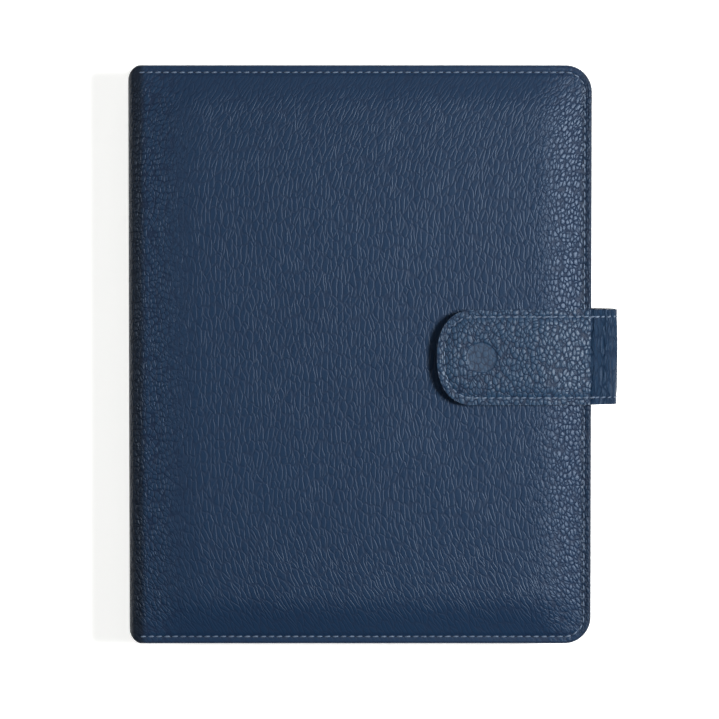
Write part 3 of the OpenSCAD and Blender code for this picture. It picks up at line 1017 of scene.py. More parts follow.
@dataclass(frozen=True)
class Stitch:
    """One visible stitch of waxed thread, which dives into a needle hole at each end.

    Attributes:
        pitch: Distance from one hole to the next.
        cover: Share of the pitch that the thread shows.
        radius: Radius of the thread.
        slant: Turn of each stitch from the line of the seam, in degrees.
        hole: Half-length of a needle hole.
        hole_width: Half-width of a needle hole, in radii of the thread.
        hole_sunk: Depth of its middle, in the same.
        arch: Height of the stitch's axis at its middle, in the same; it falls by 1 to its ends.
    """

    pitch: float = 3.6 * MM
    cover: float = 0.78
    radius: float = 0.35 * MM
    slant: float = 5.0
    hole: float = 0.5 * MM
    hole_width: float = 0.8
    hole_sunk: float = 0.85
    arch: float = 0.35

    def templates(self) -> tuple[bpy.types.Mesh, bpy.types.Mesh]:
        """Makes one stitch and one hole along X, with the leather's surface at Z = 0."""
        made = bmesh.new()
        bmesh.ops.create_uvsphere(made, u_segments=6, v_segments=6, radius=1)
        bmesh.ops.rotate(made, verts=made.verts, matrix=Matrix.Rotation(math.pi / 2, 3, "Y"))
        half = self.pitch * self.cover / 2
        bmesh.ops.scale(made, verts=made.verts, vec=(half, self.radius, self.radius))
        for v in made.verts:
            v.co.z += self.radius * (self.arch - (v.co.x / half) ** 4)
        thread = bpy.data.meshes.new("stitch_template")
        made.to_mesh(thread)
        made.free()
        made = bmesh.new()
        bmesh.ops.create_uvsphere(made, u_segments=6, v_segments=4, radius=1)
        width, sunk = self.radius * self.hole_width, self.radius * self.hole_sunk
        bmesh.ops.scale(made, verts=made.verts, vec=(self.hole, width, self.radius))
        bmesh.ops.translate(made, verts=made.verts, vec=(0, 0, -sunk))
        hole = bpy.data.meshes.new("hole_template")
        made.to_mesh(hole)
        made.free()
        return thread, hole

    def seam(
        self,
        name: str,
        runs: Iterable[Sequence[Vector]],
        surface: Callable[[Vector], tuple[Vector, Vector]],
        palette: Palette,
    ) -> bpy.types.Object:
        """Sews rows of stitches.

        Args:
            name: The piece's name.
            runs: Each row as points in the surface's own two coordinates.
            surface: Gives the place and the outward normal of such a point.
            palette: The materials.

        Returns:
            All the rows as one piece.
        """
        thread, hole = self.templates()
        made = bmesh.new()
        for run in runs:
            for middle, along in walk(run, self.pitch):
                self.put(made, thread, surface, middle, along, math.radians(self.slant), 0)
                self.put(made, hole, surface, middle - along * self.pitch / 2, along, 0.0, 1)
        return finish_piece(name, made, [palette.thread, palette.needle_hole], 60)

    def put(
        self,
        made: bmesh.types.BMesh,
        template: bpy.types.Mesh,
        surface: Callable[[Vector], tuple[Vector, Vector]],
        middle: Vector,
        along: Vector,
        slant: float,
        material: int,
    ) -> None:
        """Adds a copy of a template on the surface.

        Args:
            made: The mesh that gains it.
            template: The mesh to copy.
            surface: Gives the place and the outward normal of a point.
            middle: The copy's middle, in the surface's own coordinates.
            along: The seam's direction there.
            slant: Turn from that direction.
            material: Number of the copy's material.
        """
        place, normal = surface(middle)
        ahead = surface(middle + along * 0.2 * MM)[0] - place
        tangent = (ahead - normal * ahead.dot(normal)).normalized()
        side = normal.cross(tangent)
        turned = tangent * math.cos(slant) + side * math.sin(slant)
        basis = Matrix((turned, normal.cross(turned), normal)).transposed().to_4x4()
        first_vert, first_face = len(made.verts), len(made.faces)
        made.from_mesh(template)
        made.verts.ensure_lookup_table()
        made.faces.ensure_lookup_table()
        bmesh.ops.transform(
            made, matrix=Matrix.Translation(place) @ basis, verts=made.verts[first_vert:]
        )
        for face in made.faces[first_face:]:
            face.material_index = material


# ---------------------------------------------------------------- covers


@dataclass
class Covers:
    """The padded front and back covers with their shared spine: leather, foam, lining, seams.

    Attributes:
        leather: Thickness of the leather.
        wall: Thickness of the modelled sheet, as a share of that.
        lining: Thickness of the lining.
        fold: Radius where the leather turns into the spine.
        fore_corner: Plan radius of the fore-edge corners.
        spine_corner: Plan radius at the spine's ends.
        turned: How far the leather is turned in under the lining.
        hem_room: Room for the lining under that hem.
        seam: Distance of the stitching from the edge.
        slope: Where the padding starts and ends rising, from an edge.
        spine_slope: The same, from the spine.
        line: Distance of the creased edge line from the edge.
        sewn: Depth and width of the valley that the stitching pulls.
        creased: Depth and width of the edge line.
        waviness: Height of the padding's slight waves, as a share of its own.
        flat_from: Distance from the spine's face where the cover starts to lie flat.
        thread_sunk: Depth of the thread below the border's face.
        step: Size of the leather's faces.
        fine: Their size near the edges.
        rim: Width of the leather, round the edge, that has the fine faces.
    """

    palette: Palette
    leather: float = 1.2 * MM
    wall: float = 0.92
    lining: float = 0.5 * MM
    fold: float = 5 * MM
    fore_corner: float = 12 * MM
    spine_corner: float = 5.5 * MM
    turned: float = 4.8 * MM
    hem_room: float = 0.6 * MM
    seam: float = 3.3 * MM
    slope: tuple[float, float] = (3.9 * MM, 23 * MM)
    spine_slope: tuple[float, float] = (5.2 * MM, 34 * MM)
    line: float = 1.35 * MM
    sewn: tuple[float, float] = (0.5 * MM, 1.0 * MM)
    creased: tuple[float, float] = (0.30 * MM, 0.45 * MM)
    waviness: float = 0.035
    flat_from: float = 4.6 * MM
    thread_sunk: float = 0.30 * MM
    step: float = 1.6 * MM
    fine: float = 0.42 * MM
    rim: float = 15 * MM
    stitch: Stitch = field(default_factory=Stitch)

    def __post_init__(self) -> None:
        """Reads the covers' sizes from the frame."""
        low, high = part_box("front_leather")
        back_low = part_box("back_leather")[0]
        board_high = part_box("front_board")[1].z
        tail_low, tail_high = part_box("strap_tail")
        self.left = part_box("spine_leather")[0].x
        self.right, self.half = high.x, high.y
        self.inner, self.border = low.z, board_high + self.leather
        self.crown = high.z - self.border
        self.mid = (high.z + back_low.z) / 2
        self.edge = (self.border - self.inner - self.hem_room) / 2
        self.tail = (tail_low, tail_high)

    def route(self, plane: float, face: float, fold: float) -> Route:
        """The covers' section from the middle of the spine to the fore edge.

        Args:
            plane: Z of the face on the cover.
            face: X of the face on the spine.
            fold: Radius between them.

        Returns:
            The route of that face, in the front cover's place.
        """
        flat = self.right - face - fold
        return Route(
            (face, self.mid),
            90,
            1,
            (
                Stretch(plane - fold - self.mid),
                Stretch(fold * math.pi / 2, -fold),
                Stretch(flat),
            ),
        )

    def wrap(self, far: float) -> tuple[float, float]:
        """Follows the leather round the cover's edge.

        Args:
            far: Distance along the leather from the hidden end of its turned-in hem.

        Returns:
            Distance from the outline, and depth below the border's face.
        """
        hem = self.turned - self.edge
        if far < hem:
            return self.turned - far, 2 * self.edge
        turn = (far - hem) / self.edge
        if turn < math.pi:
            return self.edge * (1 - math.sin(turn)), self.edge * (1 + math.cos(turn))
        return self.edge + far - hem - math.pi * self.edge, 0.0

    @staticmethod
    def rise(far: float, slope: tuple[float, float]) -> float:
        """Share of the padding's height at a distance from an edge."""
        t = min(max((far - slope[0]) / (slope[1] - slope[0]), 0.0), 1.0)
        gentle, steep = smooth_step(t, 0, 1), 1 - (1 - t) ** 2.4
        return 0.6 * gentle + 0.4 * steep

    def swell(self, x: float, y: float, from_fore: float, from_end: float, side: Side) -> float:
        """Height of the padded leather above the border.

        Args:
            x: Place along X.
            y: Place along Y.
            from_fore: Distance from the fore edge, along the leather.
            from_end: Distance from the nearer end, along the leather.
            side: Which cover.

        Returns:
            The height, with the seam's valley and the leather's slight waves.
        """
        full = (
            self.rise(from_fore, self.slope)
            * self.rise(from_end, self.slope)
            * self.rise(x - self.left, self.spine_slope)
        )
        near = min(from_fore, from_end)
        reached = smooth_step(x - self.left, 4 * MM, 7 * MM)  # no seam along the spine
        along = x if from_end < from_fore else y
        pull = 0.75 + 0.25 * math.cos(2 * math.pi * along / self.stitch.pitch)
        deep, wide = self.sewn
        valley = deep * reached * pull * math.exp(-(((near - self.seam) / wide) ** 2))
        deep, wide = self.creased
        valley += deep * math.exp(-(((near - self.line) / wide) ** 2))
        wave = sum(w.at(x, y, side.value) for w in COVER_WAVES)
        height = self.crown * full * (1 + self.waviness * wave) - valley
        if side is Side.BACK:
            height *= 1 - self.under_strap(x, y)
        return height

    def under_strap(self, x: float, y: float) -> float:
        """How far the back cover's padding is pressed flat under the sewn end of the strap."""
        low, high = self.tail
        margin, pressed = 2.2 * MM, 0.9
        inside = smooth_step(x, low.x - margin, low.x)
        inside *= smooth_step(y, low.y - margin, low.y)
        return pressed * inside * (1 - smooth_step(y, high.y, high.y + margin))

    def end_cut(self, x: float, y: float) -> float:
        """Draws the ends in at the spine, where the plan's corners are round.

        Args:
            x: Place of the leather's outer face along X.
            y: Place along Y.

        Returns:
            The place along Y on the rounded plan.
        """
        r, reach = self.spine_corner, 20 * MM
        into = min(max(x - self.left, 0.0), r)
        cut = r - math.sqrt(max(r * r - (r - into) ** 2, 0.0))
        share = max((abs(y) - self.half + reach) / reach, 0.0)
        return y - math.copysign(cut * share, y)

    def in_corner(
        self, to_fore: float, to_end: float, corner: float, inset: float
    ) -> tuple[float, float]:
        """Carries a point onto the round fore-edge corner of a sheet.

        Args:
            to_fore: Distance from the sheet's fore edge.
            to_end: Distance from its nearer end.
            corner: Plan radius of its corner.
            inset: How far it stays inside the cover's outline.

        Returns:
            X of the point, and its Y at the end where Y is positive.
        """
        a, b = round_corner(1 - to_fore / corner, 1 - to_end / corner)
        x = self.right - inset - corner + a * corner
        return x, self.half - inset - corner + b * corner

    def to_side(self, place: Vector, side: Side) -> Vector:
        """Mirrors a place of the front cover to the back cover if need be."""
        return Vector((place.x, place.y, self.mid + side.value * (place.z - self.mid)))

    def skin(self, side: Side) -> bpy.types.Object:
        """Makes one cover's leather with its half of the spine, edges turned in.

        Args:
            side: Which cover.

        Returns:
            The leather as a closed sheet of its real thickness.
        """
        route = self.route(self.border, self.left, self.fold)
        corner = self.turned - 2 * self.edge + math.pi * self.edge + self.fore_corner
        extra = corner - self.fore_corner
        length = route.length + extra
        width = 2 * (self.half + extra)
        made = graded_mesh(
            stops(length, self.step, self.fine, (0.0, self.rim)),
            stops(width, self.step, self.fine, (self.rim, self.rim)),
        )
        for v in made.verts:
            to_fore, to_end = length - v.co.x, min(v.co.y, width - v.co.y)
            end = 1 if v.co.y > width / 2 else -1
            fore_in, fore_deep = self.wrap(to_fore)
            end_in, end_deep = self.wrap(to_end)
            x, z, nx, nz = route.at(min(v.co.x, route.length - self.fore_corner))
            y = end * (self.half - end_in)
            deep = max(fore_deep if to_fore < corner else 0.0, end_deep)
            if to_fore < corner and to_end < corner:
                a, b = round_corner(1 - to_fore / corner, 1 - to_end / corner)
                near = min(to_fore, to_end)
                inset, deep = self.wrap(near)
                grow = (self.fore_corner - inset) / max(corner - near, 1e-9) * corner
                x = self.right - self.fore_corner + a * grow
                y = end * (self.half - self.fore_corner + b * grow)
            elif to_fore < corner:
                x = self.right - fore_in
            elif v.co.x > route.length - self.fore_corner:
                x = self.right - self.fore_corner
            if to_end >= corner:
                y = end * (self.half - self.fore_corner - (to_end - corner))
                if to_fore < corner:
                    deep = fore_deep
            lift = 0.0
            if not deep:
                fore = fore_in if to_fore < corner else self.right - x
                ends = end_in if to_end < corner else self.half - abs(y)
                lift = self.swell(x, y, fore, ends, side) * max(nz, 0.0)
            out = lift - deep
            v.co = self.to_side(Vector((x + nx * out, self.end_cut(x, y), z + nz * out)), side)
        if side is Side.BACK:
            bmesh.ops.reverse_faces(made, faces=made.faces)
        piece = finish_piece(f"{side.name.lower()}_skin", made, [self.palette.leather], 70)
        thicken(piece, self.leather * self.wall)
        return piece

    def cloth(self, side: Side) -> bpy.types.Object:
        """Makes one cover's lining with its half of the spine's."""
        spine_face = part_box("spine_lining")[1].x
        hem, fold, step = 1.5 * MM, 2.4 * MM, 2.5 * MM
        sewn_deep, sewn_wide = 0.12 * MM, 0.9 * MM
        route = self.route(self.inner, spine_face, fold)
        length = route.length - hem
        corner = self.fore_corner - hem
        width = 2 * (self.half - hem)
        made = grid_mesh(length, width, step)
        for v in made.verts:
            to_fore, to_end = length - v.co.x, min(v.co.y, width - v.co.y)
            end = 1 if v.co.y > width / 2 else -1
            x, z, nx, nz = route.at(v.co.x)
            y = end * (self.half - hem - to_end)
            if to_fore < corner and to_end < corner:
                x, y = self.in_corner(to_fore, to_end, corner, hem)
                y *= end
            near = min(to_fore, to_end)
            dip = sewn_deep * math.exp(-(((near + hem - self.seam) / sewn_wide) ** 2))
            dip *= smooth_step(x - self.left, 8 * MM, 12 * MM)
            place = Vector((x + nx * dip, self.end_cut(x - 2 * MM, y), z + nz * dip))
            v.co = self.to_side(place, side)
        if side is Side.FRONT:
            bmesh.ops.reverse_faces(made, faces=made.faces)
        piece = finish_piece(
            f"{side.name.lower()}_lining_cloth", made, [self.palette.slots[Slot.LINING]], 70
        )
        thicken(piece, self.lining)
        return piece

    def pad(self, side: Side) -> bpy.types.Object:
        """Makes the foam under one cover's leather."""
        gap = self.leather + 0.1 * MM
        step, thinnest, below_leather, above_board = 3 * MM, 0.25 * MM, 0.15 * MM, 0.02 * MM
        inset = self.slope[0] + gap
        left = self.left + self.spine_slope[0] + gap
        corner = self.fore_corner - inset
        length, width = self.right - inset - left, 2 * (self.half - inset)
        made = grid_mesh(length, width, step)
        base = self.border - self.leather
        for v in made.verts:
            to_fore, to_end = length - v.co.x, min(v.co.y, width - v.co.y)
            end = 1 if v.co.y > width / 2 else -1
            x, y = left + v.co.x, end * (self.half - inset - to_end)
            if to_fore < corner and to_end < corner:
                x, y = self.in_corner(to_fore, to_end, corner, inset)
                y *= end
            lift = self.swell(x - gap * 0.6, y, to_fore + inset - gap, to_end + inset - gap, side)
            v.co = Vector((x, y, base + max(lift, thinnest) - below_leather))
        top = list(made.faces)
        out = bmesh.ops.extrude_face_region(made, geom=top)
        for v in (g for g in out["geom"] if isinstance(g, bmesh.types.BMVert)):
            v.co.z = base + above_board
        bmesh.ops.recalc_face_normals(made, faces=made.faces)
        for v in made.verts:
            v.co = self.to_side(v.co, side)
        if side is Side.BACK:
            bmesh.ops.reverse_faces(made, faces=made.faces)
        return finish_piece(f"{side.name.lower()}_pad", made, [self.palette.slots[Slot.FOAM]])

    def seams(self, side: Side) -> bpy.types.Object:
        """Sews the border of one cover, seen on the leather and on the lining."""
        line: list[Vector] = []
        r = self.fore_corner - self.seam
        cx, cy = self.right - self.fore_corner, self.half - self.fore_corner
        arc_steps = 12
        line.append(Vector((self.left + self.flat_from, self.half - self.seam, 0)))
        for k in range(arc_steps + 1):
            turn = math.pi / 2 * k / arc_steps
            line.append(Vector((cx + r * math.sin(turn), cy + r * math.cos(turn), 0)))
        line += [Vector((p.x, -p.y, 0)) for p in reversed(line)]
        inside = [Vector((p.x, p.y, 1)) for p in line]
        inside[0].x = inside[-1].x = self.left + 14 * MM

        def surface(point: Vector) -> tuple[Vector, Vector]:
            """Place and normal on the leather, or on the lining where the third value is 1."""
            if point.z > 0.5:
                place = Vector((point.x, point.y, self.inner + 0.1 * MM))
                return self.to_side(place, side), Vector((0, 0, -side.value))
            ends, fore = self.half - abs(point.y), self.right - point.x
            valley = self.thread_sunk * smooth_step(min(ends, fore), 0, self.seam)
            y = self.end_cut(point.x, point.y)
            place = Vector((point.x, y, self.border - valley))
            return self.to_side(place, side), Vector((0, 0, side.value))

        return self.stitch.seam(
            f"{side.name.lower()}_stitching", [line, inside], surface, self.palette
        )

    def build(self) -> None:
        """Builds both covers, and hangs the foam and the stitching on their cover's body."""
        for side, body, nodes in (
            (Side.FRONT, "front_cover", ("front_leather", "spine_leather")),
            (Side.BACK, "back_cover", ("back_leather", "spine_leather")),
        ):
            # the fold bends from inside the spine's face to just below the cover's border; nothing uses
            # these two points
            near = Vector((self.left + 0.3 * MM, 0, self.border - self.fold))
            far = Vector((self.left + self.flat_from, 0, self.border - 0.7 * MM))
            near, far = self.to_side(near, side), self.to_side(far, side)
            skin, cloth = self.skin(side), self.cloth(side)
            lining = ("front_lining", "spine_lining") if side is Side.FRONT else ("back_lining",)
            for piece, stood_for, slot in (
                (skin, nodes, Slot.LEATHER),
                (cloth, lining, Slot.LINING),
            ):
                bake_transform(piece)
                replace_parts(piece, *stood_for)
            pad, seam = self.pad(side), self.seams(side)
            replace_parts(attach(pad, body), f"{side.name.lower()}_foam")
            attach(seam, body)


# ---------------------------------------------------------------- strap


@dataclass
class Strap:
    """The clasp strap: two layers of leather sewn together, from under the back cover round the
    fore edge and over the front cover, with a magnet in its rounded tip.

    Attributes:
        tip: Length of the rounded tip.
        power: Squareness of the tip's curve.
        seam: Distance of the stitching from the edge.
        cross: Distance between the two rows that cross the sewn end.
        outer: Thickness of the outer layer.
        most: Most that both layers measure together.
        crease_radius: Radius of the fold where the flap turns down over the fore edge.
        crease_turn: How far it turns there, in degrees, before it runs straight.
        lift: How far the tip's end stands up off the cover.
        dip: How far the flap sinks at its bend.
        pillow: Height of the outer layer's pillow inside the seam.
        pull: Depth of the valley that the seam pulls.
        crumple: Height of the creases at the bends.
        press: Depth of the blind stamp.
        unevenness: Height of the leather's broad waves.
        step: Size of the faces.
    """

    palette: Palette
    tip: float = 16.5 * MM
    power: float = 2.3
    seam: float = 3.2 * MM
    cross: float = 30 * MM
    outer: float = 1.5 * MM
    most: float = 2.8 * MM
    crease_radius: float = 5.5 * MM
    crease_turn: float = 30.0
    lift: float = 3.1 * MM
    dip: float = 3.0 * MM
    pillow: float = 0.55 * MM
    pull: float = 0.38 * MM
    crumple: float = 0.5 * MM
    press: float = 0.3 * MM
    unevenness: float = 0.10 * MM
    step: float = 0.55 * MM
    stitch: Stitch = field(default_factory=lambda: Stitch(pitch=3.5 * MM, slant=8.0))

    def __post_init__(self) -> None:
        """Reads the strap's sizes from the frame."""
        tail_low, tail_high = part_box("strap_tail")
        bridge_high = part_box("strap_bridge")[1]
        flap_low, flap_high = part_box("strap_flap")
        self.half = (tail_high.y - tail_low.y) / 2
        self.y = (tail_high.y + tail_low.y) / 2
        self.bend = bridge_high.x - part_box("front_leather")[1].x
        self.edge_x = bridge_high.x - self.bend
        self.thick = min(flap_high.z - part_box("strap_flap_lining")[0].z, self.most)
        self.tail = self.edge_x - tail_low.x
        self.lap = self.edge_x - flap_low.x
        rise = flap_high.z - tail_low.z - 2 * self.bend
        quarter = self.bend * math.pi / 2
        tight, slant = self.crease_radius, math.radians(90 - self.crease_turn)
        c, n = math.cos(slant), math.sin(slant)
        out, up = self.bend - tight * c, self.bend - tight * (1 - n)
        low_radius = (n * up - c * out) / (n * n - (1 - c) * c)
        run = (n * out - (1 - c) * up) / (n * n - (1 - c) * c)
        self.high_turn = low_radius * slant + run + tight * math.radians(self.crease_turn)
        self.route = Route(
            (tail_low.x, tail_low.z),
            0,
            -1,
            (
                Stretch(self.tail),
                Stretch(quarter, self.bend),
                Stretch(rise),
                Stretch(low_radius * slant, low_radius),
                Stretch(run),
                Stretch(tight * math.radians(self.crease_turn), tight),
                Stretch(self.lap),
            ),
        )
        self.split = self.tail + quarter + rise / 2
        magnet_low, magnet_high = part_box("strap_magnet")
        self.mark_s = self.route.length - ((magnet_low.x + magnet_high.x) / 2 - flap_low.x)

    def edge_distance(self, s: float, v: float) -> float:
        """Distance from the strap's outline, roughly, at a place along it and across it."""
        into = max(s - (self.route.length - self.tip), 0.0) / self.tip
        share = (into**self.power + (abs(v) / self.half) ** self.power) ** (1 / self.power)
        return max((1 - share) * (self.half if into == 0 else (self.half + self.tip) / 2), 0.0)

    def relief(self, s: float, v: float) -> float:
        """Height of the outer face: pillowed, pulled in at the seam, creased at the bends."""
        far = self.edge_distance(s, v)
        drop = 0.3 * (1 - smooth_step(far, 0, 2.2 * MM))
        puff = self.pillow * (smooth_step(far, self.seam, 8 * MM) - drop)
        valley = self.pull * math.exp(-(((far - self.seam) / (0.75 * MM)) ** 2))
        quarter = self.bend * math.pi / 2
        in_bend = 0.0
        for start in (self.tail, self.route.length - self.lap - self.high_turn):
            in_bend += smooth_step(s, start - 6 * MM, start + 3 * MM) * (
                1 - smooth_step(s, start + quarter - 3 * MM, start + quarter + 6 * MM)
            )
        crease = self.crumple * in_bend * sum(w.at(s, v) for w in BEND_FOLDS)
        ring = math.hypot(s - self.mark_s, v)
        stamp = self.press * (1 - smooth_step(ring, STAMP_RADIUS, STAMP_RADIUS + 0.8 * MM))
        broad = self.unevenness * STRAP_WAVE.at(s, v)
        return (puff - valley) * (1 - 0.85 * in_bend) + crease - stamp + broad

    def sag(self, s: float) -> float:
        """How far the flap sinks towards its bend, where the cover's padding falls away."""
        start = self.route.length - self.lap
        into = smooth_step(s, start - self.high_turn, start - self.high_turn * 0.4)
        return self.dip * into * (1 - smooth_step(s, start - 2 * MM, start + 24 * MM))

    def place(self, s: float, v: float, deep: float, inner: bool = False) -> tuple[Vector, Vector]:
        """Finds a place on the strap.

        Args:
            s: Distance along it from the sewn end.
            v: Distance across it from its middle.
            deep: Depth below its outer face.
            inner: Whether the place is on the smooth inner layer.

        Returns:
            The place and the outward normal.
        """
        x, z, nx, nz = self.route.at(s)
        risen = self.lift * max((s - self.route.length) / self.lap + 1, 0.0) ** 1.4
        height = risen - self.sag(s) - deep + (0.0 if inner else self.relief(s, v))
        normal = Vector((nx, 0, nz))
        return Vector((x, self.y + v, z)) + normal * height, normal

    def layer(self, name: str, low: float, high: float, inner: bool) -> bpy.types.Object:
        """Makes one layer of the strap between two distances along it.

        Args:
            name: The piece's name.
            low: Where it starts.
            high: Where it ends; the route's end is the rounded tip.
            inner: True for the smooth layer that faces the covers.

        Returns:
            The layer as a closed sheet.
        """
        made = grid_mesh(high - low, 2 * self.half, self.step * (2 if inner else 1))
        start = self.route.length - self.tip
        inset = 0.12 * MM if inner else 0.0
        for v in made.verts:
            s, across = low + v.co.x, (v.co.y - self.half)
            if s > start:
                a, b = round_corner((s - start) / self.tip, abs(across) / self.half, self.power)
                s, across = start + a * self.tip, math.copysign(b * self.half, across)
            across *= 1 - inset / self.half
            v.co = self.place(s, across, self.outer if inner else 0.0, inner)[0]
        bmesh.ops.reverse_faces(made, faces=made.faces)
        # faces past the cover's edge take the bend's leather, with its painted shade
        bent_from = self.edge_x - 0.6 * MM
        for face in made.faces:
            face.material_index = int(face.calc_center_median().x > bent_from)
        leathers = [self.palette.strap_leather, self.palette.bent_leather]
        piece = finish_piece(name, made, leathers, 70)
        thicken(piece, self.thick - self.outer if inner else self.outer)
        soften(piece, width=0.45 * MM)
        return piece

    def seam_runs(self, low: float, high: float) -> list[list[Vector]]:
        """Rows of stitches in the strap's own coordinates between two distances along it."""
        v = self.half - self.seam
        start = self.route.length - self.tip
        if high < self.route.length - MM:
            across = [v * (1 - 2 * share) for share in shares(8)]
            spots = [low + (high - low) * share for share in shares(24)]
            rows = [[Vector((s, c, 0)) for s in spots] for c in (v, -v)]
            return rows + [[Vector((s, c, 0)) for c in across] for s in (low, low + self.cross)]
        side = [Vector((low + (start - low) * share, v, 0)) for share in shares(40)]
        turned = []
        for share in shares(24)[1:-1]:
            turn = math.pi / 2 * (1 - 2 * share)
            a = abs(math.cos(turn)) ** (2 / self.power) * (self.tip - self.seam)
            b = abs(math.sin(turn)) ** (2 / self.power) * v
            turned.append(Vector((start + a, math.copysign(b, turn), 0)))
        return [side + turned + [Vector((p.x, -p.y, 0)) for p in reversed(side)]]

    def half_strap(self, label: str, low: float, high: float) -> None:
        """Builds one half of the strap and bends it across its fold.

        Args:
            label: lower or upper.
            low: Where it starts.
            high: Where it ends.
        """
        if label == "lower":
            first, turn = self.tail, self.bend * math.pi / 2
        else:
            first, turn = self.route.length - self.lap - self.high_turn, self.high_turn
        last = first + turn
        start, end = self.place(first, 0, 0, True)[0], self.place(last, 0, 0, True)[0]
        start.y = end.y = 0
        outer = self.layer(f"strap_outer_{label}", low, high, False)
        inner = self.layer(f"strap_inner_{label}", low, high, True)
        sunk, margin = 0.02 * MM, self.seam if label == "lower" else 0.5 * MM
        seam = self.stitch.seam(
            f"strap_stitching_{label}",
            self.seam_runs(low + margin, high),
            lambda p: self.place(p.x, p.y, sunk),
            self.palette,
        )
        if label == "lower":
            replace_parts(outer, "strap_tail", "strap_bridge")
        else:
            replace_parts(outer, "strap_flap", "strap_bridge")
            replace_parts(inner, "strap_flap_lining")
        for piece in (outer, inner, seam):
            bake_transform(piece)

    def build(self) -> None:
        """Builds the strap in its two halves, which meet in the middle of the upright part."""
        self.half_strap("lower", 0.0, self.split)
        self.half_strap("upper", self.split, self.route.length)


# ---------------------------------------------------------------- hard parts


def merged_copy(node: str) -> bmesh.types.BMesh:
    """Copies a CAD node's mesh, with its loose triangles joined into whole flat faces.

    Args:
        node: The node's name.

    Returns:
        The copy in editing form.
    """
    made = bmesh.new()
    made.from_mesh(bpy.data.objects[node].data)
    bmesh.ops.remove_doubles(made, verts=made.verts, dist=WELD)
    limit = math.radians(COPLANAR_DEG)
    bmesh.ops.dissolve_limit(made, angle_limit=limit, verts=made.verts, edges=made.edges)
    return made


@dataclass(frozen=True)
class Moulding:
    """A hard or rubber part whose CAD shape is right and only lacks its soft edges.

    Attributes:
        node: The CAD node it stands for.
        body: The body it rides on.
        slot: Its material slot.
        edge: Radius of its edges.
    """

    node: str
    body: str
    slot: Slot
    edge: float

    def build(self, palette: Palette) -> None:
        """Makes the part."""
        piece = finish_piece(
            f"{self.node}_finished", merged_copy(self.node), [palette.slots[self.slot]]
        )
        soften(piece, self.edge)
        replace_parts(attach(piece, self.body), self.node)


MOULDINGS = (
    Moulding("keyboard_base", "back_cover", Slot.GRAPHITE, 0.35 * MM),
    Moulding("keyboard_deck", "back_cover", Slot.GRAPHITE, 0.18 * MM),
    Moulding("deck_bumpers", "back_cover", Slot.RUBBER, 0.6 * MM),
    Moulding("touchpad", "touchpad", Slot.TOUCHPAD, 0.12 * MM),
    Moulding("power_switch", "power_switch", Slot.BLACK, 0.12 * MM),
    Moulding("pairing_button", "pairing_button", Slot.BLACK, 0.12 * MM),
    Moulding("tray_shell", "tray", Slot.GRAPHITE, 0.4 * MM),
    Moulding("tray_corner_grips", "tray", Slot.RUBBER, 0.25 * MM),
    Moulding("stand_leg", "stand", Slot.GRAPHITE, 0.3 * MM),
    Moulding("stand_foot", "stand", Slot.RUBBER, 0.3 * MM),
    Moulding("hinge_leaf", "front_cover", Slot.STEEL, 0.08 * MM),
    Moulding("hinge_rivets", "front_cover", Slot.STEEL, 0.18 * MM),
)


# share of the dish's depth that each step inwards gains, and how much smaller its ring is
DISH_STEPS = ((0.45, 0.82), (0.35, 0.76), (0.20, 0.6))


